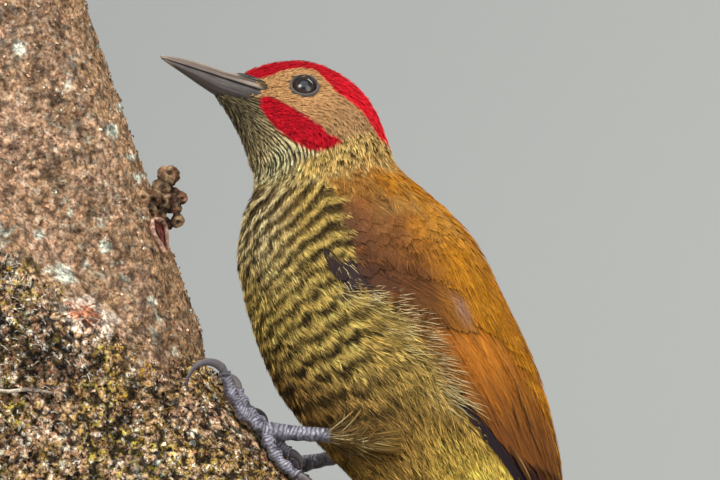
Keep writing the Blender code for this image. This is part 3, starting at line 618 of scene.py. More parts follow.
def feather_frames(ats, rings, outs):
    """Points down the middle of each feather, with the ways ahead, up and to the side there."""
    spine = on_coat(ats, rings, outs)
    along, around, normal = slopes(ats, rings, on_coat)
    ahead = np.empty_like(spine)
    ahead[:, 1:-1] = spine[:, 2:] - spine[:, :-2]
    ahead[:, 0], ahead[:, -1] = spine[:, 1] - spine[:, 0], spine[:, -1] - spine[:, -2]
    ahead = unit(ahead)
    side = unit(np.cross(normal, ahead))
    return spine, ahead, np.cross(ahead, side), side, along, around


def at_share(line, share):
    """Rows of per-feather lines read at a share of their length, one share for each point."""
    last = line.shape[1] - 1
    x = np.clip(share, 0, 1) * last
    i = np.minimum(x.astype(int), last - 1)
    u = x - i
    pick = np.arange(len(line))[:, None]
    if line.ndim == 3:
        u = u[..., None]
    return line[pick, i] * (1 - u) + line[pick, i + 1] * u


class Plumage:
    """Gathers feathers of one kind and makes them into pieces of a bounded size."""

    def __init__(self, name, finish, slot):
        self.name, self.finish, self.slot, self.made = name, finish, slot, []

    def lay(self, ats, rings, outs, width, chance, shares, across, lift, faces, strand=None, dark_root=0.35,
            bare=None, shift=1.0):
        """Put a template of points on each feather. Shares run along it, across is in half widths,
        lift is the height over its middle line."""
        spine, ahead, normal, side, along, around = feather_frames(ats, rings, outs)
        share = np.broadcast_to(shares, (len(ats), shares.shape[-1]))
        across = np.broadcast_to(across, share.shape)
        x = across * width[:, None]
        points = at_share(spine, share)
        sides, normals = at_share(side, share), at_share(normal, share)
        over_tip = np.maximum(share - 1, 0) * np.linalg.norm(spine[:, -1] - spine[:, 0], axis=-1)[:, None]
        points = points + sides * x[..., None] + normals * np.broadcast_to(lift, share.shape)[..., None]
        points = points + at_share(ahead, share) * over_tip[..., None]
        places_at, places_ring = (at_share(line[..., None], share)[..., 0] for line in (ats, rings))
        alongs, arounds = at_share(along, share), at_share(around, share)
        places_at = places_at + x * (sides * alongs).sum(-1) / (alongs ** 2).sum(-1)
        places_ring = places_ring + x * (sides * arounds).sum(-1) / (arounds ** 2).sum(-1)
        lot = np.broadcast_to(chance[:, None], share.shape)
        tint = markings(places_at, places_ring, lot, share, shift * (lot * 2 - 1))
        strand = 0 if strand is None else np.broadcast_to(strand, share.shape)
        # Each feather darkens towards its root as painted shade, where the feathers before it cover it.
        tone = (1 + 0.16 * (lot - 0.5) + strand) * (1 - dark_root * (1 - rise(share, 0.1, 0.75)))
        tint = tint * tone[..., None]
        if bare is not None:
            tint = bare(tint, places_at, places_ring, lot, share, across)
        patch_u = (rings[:, :1] + 1) % 2 / 2 + PATCH * (np.clip(across, -1, 1) / 2)
        patch_v = ats[:, :1] / BODY_END + PATCH * (np.clip(share, 0, 1) - 0.5)
        self.made.append((points, across, share, lot, tint, np.stack((patch_u, patch_v), -1), faces))

    def pieces(self, *replaced):
        """Make the pieces, each within the largest size."""
        number, queue = 0, []
        for layer in self.made:
            each = sum(len(f) * (np.shape(f)[1] - 2) for f in layer[6])
            room = max(1, LARGEST_PIECE // each)
            for first in range(0, len(layer[0]), room):
                queue.append((layer, first, min(first + room, len(layer[0])), each))
        while queue:
            batch, total = [], 0
            while queue and total + (queue[0][2] - queue[0][1]) * queue[0][3] <= LARGEST_PIECE:
                batch.append(queue.pop(0))
                total += (batch[-1][2] - batch[-1][1]) * batch[-1][3]
            parts, faces, base = [[] for _ in range(6)], [], 0
            for layer, first, last, _ in batch:
                per = layer[0].shape[1]
                for k in range(6):
                    parts[k].append(layer[k][first:last].reshape(-1, *layer[k].shape[2:]))
                begin = base + np.arange(last - first)[:, None, None] * per
                faces += [(np.asarray(f)[None] + begin).reshape(-1, np.shape(f)[1]) for f in layer[6]]
                base += (last - first) * per
            points, across, share, lot, tint, flat = (np.concatenate(p) for p in parts)
            number += 1
            piece = add_piece(f"{self.name}_{number}", points, faces, self.finish,
                              {"along": share, "across": across, "chance": lot},
                              {"plume": np.clip(tint, 0, 1)}, flat)
            show(piece, self.slot, *(replaced if number == 1 else ()))


def vane_template(rows, columns, blunt=2.2, stem=0.2):
    """A leaf-shaped vane, narrow at its root and rounded at its tip."""
    t = np.linspace(0.0, 1.0, rows + 1)
    x = np.linspace(-1.0, 1.0, columns + 1)
    outline = np.minimum(1.0, stem + (1 - stem) * np.sin(np.clip(t * 1.7, 0, 1) * math.pi / 2))
    outline = outline * (1 - t ** (2 * blunt)) ** (1 / 2.0)
    shares = t[:, None] * np.ones(columns + 1)
    tips = np.clip(outline, 0.02, 1)[:, None] * x
    shares = shares - 0.05 * (np.abs(x)[None] ** 2) * t[:, None] ** 4
    return shares.ravel(), tips.ravel(), [grid_faces(rows + 1, columns + 1)]


BARB_TAPER = np.array([0.7, 1.0, 0.8, 0.1])


def barb_template(rng, count, fans, thin):
    """Separate barbs of a soft feather, as tapering strips that fan out from its shaft."""
    q = np.linspace(-1, 1, fans)[None] + rng.normal(0, 0.5 / fans, (count, fans))
    q = np.clip(q, -1.05, 1.05)
    start = 0.66 * np.maximum(1 - np.abs(q), 0) ** 0.8 * rng.uniform(0.6, 1.0, q.shape)
    end = 1.0 - 0.46 * np.abs(q) ** 1.8 + rng.normal(0, 0.07, q.shape)
    out = np.sin(np.clip(q, -1, 1) * math.pi / 2) + rng.normal(0, 0.10, q.shape)
    v = np.linspace(0, 1, len(BARB_TAPER))
    share = start[..., None] + (end - start)[..., None] * v
    across = out[..., None] * (1 - (1 - v) ** 1.6)
    return share, across, thin * BARB_TAPER, v


def strips(steps, fans=1):
    """Faces of strips that run down both sides and end in one point: quads and a last triangle."""
    base = np.arange(fans)[:, None, None] * (2 * steps + 1)
    quads = np.array([[k, k + 1, steps + k + 1, steps + k] for k in range(steps - 1)])
    tip = np.array([[steps - 1, 2 * steps, 2 * steps - 1]])
    return [(quads + base).reshape(-1, 4), (tip + base).reshape(-1, 3)]


def ribbon(steps):
    """Faces of a ribbon whose points come in pairs."""
    return np.array([[k, k + 1, k + 3, k + 2] for k in range(0, 2 * steps - 2, 2)])


def by_section(sections, values):
    """A size that changes along the body, as a rule of the section and the way round."""
    return lambda at, side=0: np.interp(at, sections, values)


def evenly(value):
    """A size that is the same everywhere, as such a rule."""
    return lambda at, side=0: value + 0 * at


def lay_barbs(kind, rng, ats, rings, outs, length, width, chance, fans, thin, stand=0.25, loose=0.25,
              contrast=0.22, **colour):
    """Lay a fan of barbs on each feather."""
    count = len(ats)
    share, across, half, v = barb_template(rng, count, fans, thin)
    segments = len(v) - 1
    run = (share[..., -1] - share[..., 0]) * length[:, None]
    drift = across[..., -1] * width[:, None]
    size = np.maximum(np.hypot(run, drift), 1e-6)
    roll = rng.normal(0, 0.5, run.shape)
    bend = rng.normal(0, stand, run.shape)[..., None] * v ** 2
    bend = bend + loose * v ** 2 * rng.random(run.shape)[..., None]
    step_share = (-drift / size * np.cos(roll))[..., None] * half / length[:, None, None]
    step_across = (run / size * np.cos(roll))[..., None] * half / width[:, None, None]
    step_lift = np.sin(roll)[..., None] * half
    left = (share + step_share, across + step_across, bend + step_lift)
    right = (share - step_share, across - step_across, bend - step_lift)
    tips = (share[..., -1:], across[..., -1:], bend[..., -1:])
    joined = [np.concatenate((a[..., :-1], b[..., :-1], c), -1).reshape(count, -1)
              for a, b, c in zip(left, right, tips)]
    if callable(contrast):
        contrast = contrast(ats[:, :1])
    strand = np.repeat((rng.normal(0, 1, run.shape) * contrast)[..., None], 2 * segments + 1, -1)
    # Barbs grow lighter towards their ends as painted light, where they stand clear of the coat.
    painted_tip_light = 0.10 * np.concatenate((v[:-1], v[:-1], v[-1:]))
    strand = (strand + painted_tip_light).reshape(count, -1)
    kind.lay(ats, rings, outs, width, chance, *joined, strips(segments, fans), strand, **colour)


def body_feathers(kind, rng, weight, start, end, seed, length, width, tip, fans, thin, vane=None, keep=None,
                  turn=None, root_shade=0.2, **style):
    """Sow feathers over part of the body and lay them. Length, width and tip are functions of
    the section and the way round."""
    at, ring = sown(weight, start, end, seed)
    if keep is not None:
        kept = keep(at, ring)
        at, ring = at[kept], ring[kept]
    side, count = np.abs((ring + 1) % 2 - 1), len(at)
    chance = rng.random(count)
    long = length(at, side) * rng.uniform(0.85, 1.15, count)
    wide = width(at, side) * rng.uniform(0.88, 1.12, count)
    way = (lie_of(at, side) if turn is None else turn(at, side)) + rng.normal(0, 0.09, count)
    ats, rings = marched(at, ring, way, long)
    outs = height_line(coat_depth(at, ring) * 0.9, tip(at, side) + rng.normal(0, 0.12, count))
    if vane:
        shares, across, faces = vane_template(*vane)
        arch = -(across[None] * wide[:, None]) ** 2 / 44.0 - 0.08
        kind.lay(ats, rings, outs, wide * 0.86, chance, shares * 0.84, across, arch, faces,
                 dark_root=root_shade)
    if fans:
        lay_barbs(kind, rng, ats, rings, outs, long, wide, chance, fans, thin, dark_root=root_shade, **style)


SOFT_PLUME = feather_finish("soft_plume", 26.0, 0.5, 0.30, 0.5, 0.8)
SMOOTH_PLUME = feather_finish("smooth_plume", 44.0, 0.30, 0.34, 0.5, 0.7)


def past_wing(at, side):
    """How far below the wing's front edge a place is."""
    return side - edge_of(WING_FRONT, at)


# Breast, belly, flanks and vent.
rng = np.random.default_rng(41)
under = Plumage("breast_and_belly", SOFT_PLUME, "plumage")


def under_weight(at, ring):
    shown = rise(past_wing(at, np.abs(ring)), -0.04 + 0.045 * rise(at, 17.5, 19.0), 0.02)
    return 0.36 * shown * rise(at, 10.2, 11.0) * (1 + 0.5 * (1 - rise(at, 11.0, 13.5)))


def under_tip(at, side):
    """The tips stand over the wing's edge along the flank, and up at the full upper breast."""
    gap = past_wing(at, side)
    flank = 1.15 * (1 - rise(gap, 0.02, 0.12)) * rise(at, 13.0, 14.5) * (1 - 0.85 * rise(at, 20.2, 21.4))
    low = 0.6 * rise(at, 20.4, 21.4) * (1 - rise(gap, 0.05, 0.10))
    return -0.25 + flank - low + 0.75 * (1 - rise(at, 10.2, 13.0)) * rise(side, 0.62, 0.82)


def clear_of_alula(at, ring):
    side = np.abs(ring)
    patch = (at > 14.8) & (at < 16.5) & (side < 0.592 - 0.02 * (at - 15)) & (side > 0.49)
    return ~patch


body_feathers(
    under, rng, under_weight, 10.2, 27.0, 1,
    by_section((10, 12, 15, 20, 27), (4.5, 5.5, 7.0, 8.0, 8.5)),
    by_section((10, 12, 15, 20, 27), (1.2, 1.6, 2.2, 2.2, 2.0)), under_tip,
    26, 0.105, vane=(5, 4), keep=clear_of_alula, shift=0.45, stand=0.22, loose=0.2,
    contrast=by_section((10, 13, 17, 20), (0.20, 0.28, 0.60, 0.80)))
under.pieces()

# Long loose barbs of the flank, over the lower edge of the wing.
wisps = Plumage("flank_wisps", SOFT_PLUME, "plumage")


def wisp_weight(at, ring):
    gap = past_wing(at, np.abs(ring))
    many = 0.9 * (0.07 * rise(at, 14.6, 15.0) + 0.84 * rise(at, 15.9, 16.9)) * (1 - rise(at, 19.2, 20.6))
    return many * rise(gap, -0.01, 0.03) * (1 - rise(gap, 0.05, 0.13))


def pale_wisp(tint, at, ring, lot, share, across):
    pale = over(tint, paint(230, 212, 156), 0.85 * rise(share, 0.2, 0.7) * rise(lot, 0.25, 0.6))
    return over(pale, paint(92, 72, 44), 0.55 * (1 - rise(lot, 0.05, 0.3)))


wisp_degrees = by_section((14.5, 15.6, 16.4, 17.0, 18.5, 20.0, 22.0),
                          (20.0, 24.0, 60.0, 84.0, 76.0, 50.0, 20.0))
body_feathers(
    wisps, rng, wisp_weight, 14.4, 23.0, 2, by_section((15.5, 17.5, 19.0), (7.0, 8.5, 11.5)), evenly(2.4),
    evenly(1.2), 6, 0.066, turn=lambda at, side: np.radians(wisp_degrees(at)), stand=0.38, loose=0.4,
    contrast=0.35,
    bare=pale_wisp)
wisps.pieces()

# Feathers of the breast's side that curve up over the front edge of the wing.
breast_side = Plumage("breast_side", SOFT_PLUME, "plumage")


def breast_side_weight(at, ring):
    gap = past_wing(at, np.abs(ring))
    here = 0.55 * rise(at, 10.9, 11.8) * (1 - rise(at, 14.2, 14.9))
    return here * rise(gap, -0.005, 0.01) * (1 - rise(gap, 0.03, 0.07))


def barred_to_tip(tint, at, ring, lot, share, across):
    way = (ring + 1) % 2 - 1
    held = np.maximum(np.abs(way), edge_of(WING_FRONT, at) + 0.03) * np.sign(way)
    return markings(at, held, lot, share) * (0.75 + 0.4 * lot[..., None])


body_feathers(
    breast_side, rng, breast_side_weight, 10.8, 15.0, 12, evenly(5.0), evenly(1.5), evenly(1.35), 14, 0.085,
    turn=evenly(0.72), stand=0.2, loose=0.2, contrast=0.3, bare=barred_to_tip)
breast_side.pieces()

# Throat and neck: narrow feathers that make streaks and small scales.
neck = Plumage("neck_and_throat", SOFT_PLUME, "plumage")


def throat_weight(at, ring):
    side = np.abs(ring)
    throat = rise(side - edge_of(MALAR_LOW, at), -0.015, 0.01) * (at < 9.4) + (at >= 9.4)
    face = (at > edge_of(FACE_END, side) - 0.25) & (side < 0.62)
    many = np.where(at < 9.0, throat * 1.15, np.maximum(face, side > 0.5) * 1.25)
    return many * (1 - rise(at, 11.2, 12.0)) * ((side > 0.4) | (at > 8.8))


def on_crown(at, side):
    return (side < edge_of(CROWN_EDGE, at) - 0.004) & (at > 2.3) & (at < 10.3)


def throat_tip(at, side):
    """The tips stand out under the throat, which is full."""
    full = np.interp(at, (0, 1.5, 3, 8, 10.5, 12.5), (0, 0.8, 1, 1, 0.8, 0.3))
    return 0.95 * full * rise(side, 0.64, 0.84) - 0.1


body_feathers(
    neck, rng, throat_weight, 0.3, 12.0, 3, by_section((0, 4, 9, 12), (2.6, 3.6, 3.6, 4.6)),
    by_section((0, 4, 9, 12), (0.32, 0.40, 0.55, 1.0)), throat_tip, 7, 0.10, vane=(3, 2),
    keep=lambda at, ring: ~on_crown(at, np.abs(ring)), stand=0.14, loose=0.1,
    contrast=by_section((0, 8, 10), (0.36, 0.34, 0.30)))
neck.pieces()

# Face, crown and malar patch: the smallest feathers, like velvet.
head = Plumage("head_feathers", SOFT_PLUME, "plumage")
EYE_SECTION, EYE_ROUND = 5.48, 0.368


def from_eye(at, ring):
    return np.linalg.norm(on_body(at, ring) - on_body(EYE_SECTION, EYE_ROUND * np.sign(ring)), axis=-1)


def face_keep(at, ring):
    """Feathers of the head, clear of the bill and of the bare lids, at their roots and tips."""
    side = np.abs(ring)
    low = np.where(at < 9.35, edge_of(MALAR_LOW, at), 0.0)
    region = (side < low + 0.004) | on_crown(at, side) | ((at < edge_of(FACE_END, side)) & (side < 0.46))
    bill = (at < 2.2) & (side < 0.5)
    return region & ~bill & (from_eye(at, ring) > 3.25) & (from_eye(at + 0.42, ring) > 3.05)


body_feathers(
    head, rng, evenly(1.9), 1.6, 10.4, 4,
    lambda at, side: np.interp(at, (2, 4, 10), (1.5, 1.9, 2.9)) + 0.5 * on_crown(at, side),
    by_section((2, 4, 10), (0.32, 0.4, 0.55)), evenly(0.0), 5, 0.085, vane=(2, 2), keep=face_keep,
    stand=0.08, loose=0.1, contrast=0.12, shift=0.6)
head.pieces()

# Back and shoulders: broad, soft-edged feathers.
mantle = Plumage("mantle", SMOOTH_PLUME, "plumage")


def mantle_weight(at, ring):
    side = np.abs(ring)
    limit = np.interp(at, (10, 11.5, 13, 16, 18.5, 21.0), (0.56, 0.54, 0.42, 0.24, 0.10, 0.02))
    many = 0.16 * (1 + 1.2 * (1 - rise(at, 11.0, 13.5))) * rise(at, 10.2, 10.7)
    return many * (1 - rise(side - limit, 0.0, 0.03)) * (1 - rise(at, 21.5, 23.0))


body_feathers(
    mantle, rng, mantle_weight, 10.2, 23.0, 5, by_section((10, 12, 15, 22), (4.5, 7.0, 11.0, 15.0)),
    by_section((10, 12, 15, 22), (1.2, 2.0, 3.2, 3.6)), lambda at, side: 1.15 * rise(at, 11.5, 13.5),
    20, 0.10, vane=(7, 6), turn=lambda at, side: -0.12 * rise(side, 0.05, 0.3), stand=0.08, loose=0.08,
    contrast=0.26, root_shade=0.1)
mantle.pieces()

# Rump and upper tail coverts, mostly under the wings.
rump = Plumage("rump", SOFT_PLUME, "plumage")


def rump_weight(at, ring):
    above = 1 - rise(past_wing(at, np.abs(ring)), 0.06, 0.1) * (1 - rise(at, 26.0, 27.5))
    return 0.16 * rise(at, 20.0, 21.0) * (1 - rise(at, 28.6, 29.2)) * above


body_feathers(
    rump, rng, rump_weight, 20.0, 29.2, 6, lambda at, side: 8.0 - 0.3 * (at - 24), evenly(2.2),
    lambda at, side: -0.9 * (1 - rise(at, 26, 27.5)), 16, 0.13, vane=(5, 4))
rump.pieces()


# ---------------------------------------------------------------- wings
# The folded wings, one flight feather after another: dark primaries underneath, bronze
# secondaries and tertials over them, then rows of coverts towards the front of the wing.

WING_PAINTS = {"orange": paint(190, 112, 32), "rust": paint(150, 80, 28), "edge": paint(54, 28, 18),
               "rim": paint(206, 160, 96), "dusk": paint(38, 26, 30), "plum": paint(56, 40, 40)}
LANES = np.linspace(0.0, 1.0, 7)
SLITS = ((19.85, 20.85, 0.198, 0.207, 0.30), (20.35, 21.4, 0.200, 0.196, 0.26),
         (20.45, 21.2, 0.238, 0.243, 0.26), (20.9, 22.2, 0.210, 0.178, 0.20),
         (21.7, 23.0, 0.300, 0.246, 0.75))


def lane_way(at, lane):
    """The way round the body of a feather's middle, from the wing's lower edge (0) to the back (1)."""
    low = np.interp(at, (12.5, 15, 16.5, 17.5, 18.5, 20.0, 21.0, 22.0, 23.0, 24.0),
                    (0.47, 0.475, 0.463, 0.408, 0.362, 0.335, 0.298, 0.266, 0.206, 0.146))
    return low + (0.025 - low) * lane


def vane_colour(tint, at, ring, lot, share, across):
    """Bronze outer webs with a fine pale rim and a darker shaft, darkened as painted shade along the inner
    edge where the next feather covers it and along the back's outline.
    """
    side = np.sign((ring + 1) % 2 - 1)
    inner = across * side
    body = over(WING_PAINTS["orange"] * (0.86 + 0.28 * lot[..., None]), WING_PAINTS["rust"],
                0.55 * rise(cloud(on_body(at, ring), 5.0, 77), -0.3, 0.6))
    body = over(body, tint, 0.25)
    # Painted shade along the inner edge of the visible web, where the next feather lies over it.
    painted_gap_shade = rise(0.10 + 0.47 * share + 0.08 * lot - inner, 0.0, 0.10) * rise(share, 0.48, 0.78)
    body = over(body, WING_PAINTS["edge"], 0.62 * painted_gap_shade)
    body = over(body, WING_PAINTS["edge"], 0.7 * (1 - rise(np.abs(across), 0.015, 0.05))
                * rise(share, 0.4, 0.7))
    body = over(body, WING_PAINTS["rim"], (0.4 + 0.4 * rise(share, 0.7, 0.85)) * rise(inner, 0.88, 0.95))
    # Painted shade along the back's outline, where the wing turns away.
    painted_outline_shade = 1 - rise(np.abs((ring + 1) % 2 - 1), 0.03, 0.065)
    body = over(body, WING_PAINTS["edge"], 0.6 * painted_outline_shade * rise(share, 0.45, 0.75))
    return over(body, WING_PAINTS["edge"], 0.6 * rise(share, 0.95, 0.99))


def covert_colour(tint, at, ring, lot, share, across):
    """Duller bronze, browner towards the front of the wing, with thin dark margins at the tips and a pale
    painted sheen on one covert.
    """
    side = np.abs((ring + 1) % 2 - 1)
    body = over(tint, WING_PAINTS["orange"], 0.2 * rise(at, 17.0, 19.0))
    brown = 0.68 * rise(side, 0.26, 0.36) * rise(at, 14.8, 16.0) * (1 - rise(at, 18.0, 19.5))
    body = over(body, paint(88, 50, 26), brown)
    body = body * (0.90 + 0.24 * lot[..., None])
    rim = np.maximum(rise(np.abs(across), 0.9, 0.98) * rise(share, 0.6, 0.8), rise(share, 0.965, 0.99))
    body = over(body, WING_PAINTS["edge"], 0.22 * rim * rise(at, 14.5, 17.0))
    # A pale painted sheen on one covert.
    painted_sheen = np.exp(-((at - 17.5) / 0.55) ** 2 - ((side - 0.272) / 0.018) ** 2)
    body = over(body, paint(156, 124, 116), 0.75 * painted_sheen)
    return over(body, WING_PAINTS["plum"], 0.5 * rise(side, 0.40, 0.5) * (1 - rise(at, 16.0, 18.5)))


def dusky_colour(tint, at, ring, lot, share, across):
    """The primaries, nearly black with a rusty leading edge."""
    side = np.sign((ring + 1) % 2 - 1)
    body = WING_PAINTS["dusk"] * (0.8 + 0.4 * lot[..., None])
    return over(body, WING_PAINTS["rust"], 0.5 * rise(across * side, 0.86, 0.97)
                * (1 - rise(share, 0.7, 0.9)))


def painted_slit_shade(tint, at, ring, lot, share, across):
    """A dark strip of painted shade over the gap between two feathers, with the pale rim of the upper one
    along it.
    """
    side = np.sign((ring + 1) % 2 - 1)
    body = over(tint * 0.5, WING_PAINTS["edge"], 0.7)
    return over(body, WING_PAINTS["rim"], 0.6 * rise(across * side, 0.3, 0.6) * (1 - rise(share, 0.7, 0.95)))


def plum_colour(tint, at, ring, lot, share, across):
    """The alula and the primaries' own coverts, dark and plum-coloured."""
    body = WING_PAINTS["plum"] * (0.75 + 0.4 * lot[..., None])
    return over(body, WING_PAINTS["dusk"], 0.6 * rise(np.abs(across), 0.8, 0.95))


VANE_FINISH = feather_finish("bronze_vane", 70.0, 0.30, 0.65, 0.8, 0.62)
DUSK_FINISH = feather_finish("dusky_vane", 60.0, 0.30, 0.25, 0.6, 0.5)
wing_rng = np.random.default_rng(73)
ALONG_VANE = np.linspace(0, 1, 11)


def vane_arch(across, half, curve, shaft=0.0):
    """Heights across a vane: lower at its edges, and raised a little along its shaft."""
    return -(across[None] * half) ** 2 / curve + shaft * (1 - np.minimum(np.abs(across) * 6, 1))[None]


def lay_row(kind, side, lanes, roots, tips, half, out, drop, template, colour, fringe=0, thin=0.12,
            settle=0.0):
    """Lay one row of feathers on a wing: lanes, sections of their roots and tips, half widths,
    and heights, which settle towards the feathers below at the tip."""
    lanes, roots, tips, half, out = np.broadcast_arrays(
        *(np.asarray(v, float) for v in (lanes, roots, tips, half, out)))
    t = ALONG_VANE
    ats = roots[:, None] + (tips - roots)[:, None] * t
    ways = lane_way(ats, lanes[:, None])
    rings = side * (ways + 0.004 * np.sin(7.0 * lanes)[:, None] * t)
    outs = out[:, None] - (drop + out)[:, None] * (1 - t) ** 2.2
    outs = outs - np.reshape(settle, (-1, 1)) * rise(t, 0.6, 1.0)
    chance = wing_rng.random(len(lanes))
    shares, across, faces = template
    shares = shares * (0.95 if fringe else 1.0)
    arch = vane_arch(across, half[:, None], 40.0, 0.10)
    kind.lay(ats, rings, outs, half, chance, shares, across, arch, faces, bare=colour, dark_root=0.15)
    if fringe:
        length = np.linalg.norm(np.diff(on_body(ats, rings), axis=1), axis=-1).sum(1)
        lay_barbs(kind, wing_rng, ats, rings, outs + 0.02, length, half, chance, fringe, thin,
                  stand=0.04, loose=0.05, contrast=0.16, bare=colour, dark_root=0.15)


def make_primaries(side_name, side):
    """Seven dark primaries, each reaching past the one before."""
    kind = Plumage(f"wing_{side_name}_primaries_feathers", DUSK_FINISH, "dusky_feathers")
    shares, across, faces = vane_template(26, 10, blunt=2.0, stem=0.6)
    root, half, t = 17.2, 3.6, ALONG_VANE
    for k, tip in enumerate((22.9, 23.9, 24.8, 25.6, 26.2, 26.6, 26.9)):
        ats = (root + (tip - root) * t)[None]
        ways = np.interp(ats, (17.2, 18.0, 19.0, 20.0, 21.0, 22.0, 23.0, 24.5, 27.3),
                         (0.440, 0.405, 0.378, 0.362, 0.335, 0.298, 0.262, 0.215, 0.150)) - 0.010 * k
        outs = (-0.75 + 0.55 * rise(t, 0.1, 0.4) - 0.05 * k + 0.12 * k * t ** 2)[None]
        kind.lay(ats, side * ways, outs, np.array((half,)), wing_rng.random(1), shares, across,
                 vane_arch(across, half, 40.0, 0.08), faces, bare=dusky_colour, dark_root=0.1)
    kind.pieces(f"wing_{side_name}_primaries")


def make_secondaries(side_name, side):
    """Seven broad bronze secondaries and tertials, with dark strips of painted shade where they part."""
    kind = Plumage(f"wing_{side_name}_secondaries_feathers", VANE_FINISH, "bronze_feathers")
    lay_row(kind, side, LANES, 15.6, (22.9, 23.05, 23.2, 23.35, 23.45, 23.5, 23.5),
            (3.5, 3.4, 3.4, 3.4, 3.4, 3.4, 3.2), 0.30 + 0.10 * np.arange(7), 1.2,
            vane_template(40, 30, blunt=3.2, stem=0.5), vane_colour, 40, 0.13)
    # Dark strips over the gaps between the feathers, as painted shade.
    shares, across, faces = vane_template(16, 6, blunt=1.2, stem=0.15)
    t = ALONG_VANE
    outs = (0.66 + 0.16 * rise(t, 0.0, 0.3) - 0.2 * rise(t, 0.8, 1.0))[None]
    for first, last, way_in, way_out, half in SLITS:
        kind.lay((first + (last - first) * t)[None], side * (way_in + (way_out - way_in) * t)[None], outs,
                 np.array((half,)), np.array((0.5,)), shares, across, np.zeros((1, len(shares))), faces,
                 bare=painted_slit_shade, dark_root=0.1)
    kind.pieces(f"wing_{side_name}_secondaries")


def small_weight(at, ring):
    """How many small coverts there are: from the wing's bend back to the median row."""
    side = np.abs(ring)
    many = 0.19 * rise(at, 12.2, 12.5) * (1 - rise(at + 4.0 * (side - 0.45), 14.6, 15.4))
    return many * (1 - rise(side - lane_way(at, 0.0), 0.012, 0.03)) * rise(side, 0.12, 0.16)


def make_coverts(side_name, side):
    """Greater, median and small coverts, then the alula and primary coverts below the bend."""
    coverts = Plumage(f"wing_{side_name}_coverts_feathers", VANE_FINISH, "bronze_feathers")
    greater = np.linspace(0.0, 0.9, 12)
    reach = np.interp(greater, (0, 0.15, 0.3, 0.4, 0.55, 0.75, 0.9),
                      (18.1, 18.4, 18.75, 18.45, 19.1, 19.3, 19.2))
    lay_row(coverts, side, greater, 15.6, reach, 3.7, 0.80 + 0.02 * np.arange(12), 0.9,
            vane_template(20, 12, blunt=1.9, stem=0.5), covert_colour, 30, 0.12, settle=0.68)
    median = np.linspace(0.0, 0.84, 15)
    reach = np.interp(median, (0, 0.05, 0.19, 0.37, 0.46, 0.84), (15.5, 15.85, 16.45, 16.75, 17.1, 17.7))
    lay_row(coverts, side, median, reach - 2.3, reach, 2.9, 0.98, 0.6,
            vane_template(14, 10, blunt=1.6, stem=0.4), covert_colour, 26, 0.11,
            settle=np.interp(median, (0.0, 0.3, 0.84), (1.1, 0.75, 0.5)))
    at, ring = sown(small_weight, 12.0, 16.4, 8, *sorted((0.1 * side, 0.6 * side)))
    count = len(at)
    chance, length, half = wing_rng.random(count), np.full(count, 8.0), np.full(count, 2.4)
    ats, rings = marched(at, ring, wing_rng.normal(0.0, 0.08, count), length)
    outs = height_line(np.full(count, 0.3), 1.0 - 0.65 * rise(at, 13.4, 14.8)
                       + wing_rng.normal(0, 0.04, count))
    shares, across, faces = vane_template(7, 6, blunt=2.6)
    coverts.lay(ats, rings, outs, half, chance, shares, across, vane_arch(across, half[:, None], 60.0), faces,
                bare=covert_colour, dark_root=0.1)
    lay_barbs(coverts, wing_rng, ats, rings, outs, length, half, chance, 20, 0.10, stand=0.06, loose=0.06,
              contrast=0.22, bare=covert_colour, dark_root=0.1)
    short_vane = vane_template(14, 8, blunt=3.0, stem=0.5)
    lay_row(coverts, side, (-0.19, -0.16, -0.14, -0.13), (14.4, 14.6, 14.9, 15.3), (16.35, 16.7, 17.0, 17.2),
            2.4,
            (0.62, 0.55, 0.45, 0.36), 1.6, short_vane, plum_colour)
    lay_row(coverts, side, (-0.02, -0.05), (14.9, 15.1), (17.4, 17.8), 2.6, (0.4, 0.3), 1.6, short_vane,
            covert_colour, 24, 0.11)
    coverts.pieces(f"wing_{side_name}_coverts")


for side_name, side in (("left", 1.0), ("right", -1.0)):
    make_primaries(side_name, side)
    make_secondaries(side_name, side)
    make_coverts(side_name, side)


# ---------------------------------------------------------------- tail
# Twelve stiff, pointed tail feathers pressed together and braced against the bark, the middle
# pair the longest and on top.

TAIL_LINE = ((44.2, -93.6, 8.4, 2.8), (43.8, -98.5, 10.8, 2.5), (43.1, -103.5, 12.2, 2.1),
             (42.1, -108.5, 11.6, 1.8), (40.9, -113.0, 8.2, 1.5), (40.0, -116.0, 3.0, 1.1))


class Gathered:
    """Small meshes gathered into one piece: their faces, and columns of numbers for each point."""

    def __init__(self):
        self.columns, self.faces, self.count = [], [], 0

    def add(self, faces, *columns):
        self.faces += [np.asarray(f) + self.count for f in faces]
        self.columns.append(columns)
        self.count += len(columns[0])

    def joined(self):
        return [np.concatenate(parts) for parts in zip(*self.columns)]


def tail_colour(share, across, lot):
    body = over(paint(112, 84, 34), paint(34, 28, 24), rise(share, 0.35, 0.8))
    body = over(body, paint(150, 116, 44), 0.5 * rise(np.abs(across), 0.75, 0.95)
                * (1 - rise(share, 0.6, 0.8)))
    body = over(body, paint(20, 16, 14), 0.8 * (1 - rise(np.abs(across), 0.03, 0.08)))
    return body * (0.85 + 0.3 * lot)


TAIL_UP = np.array((0.987, 0.0, -0.16))


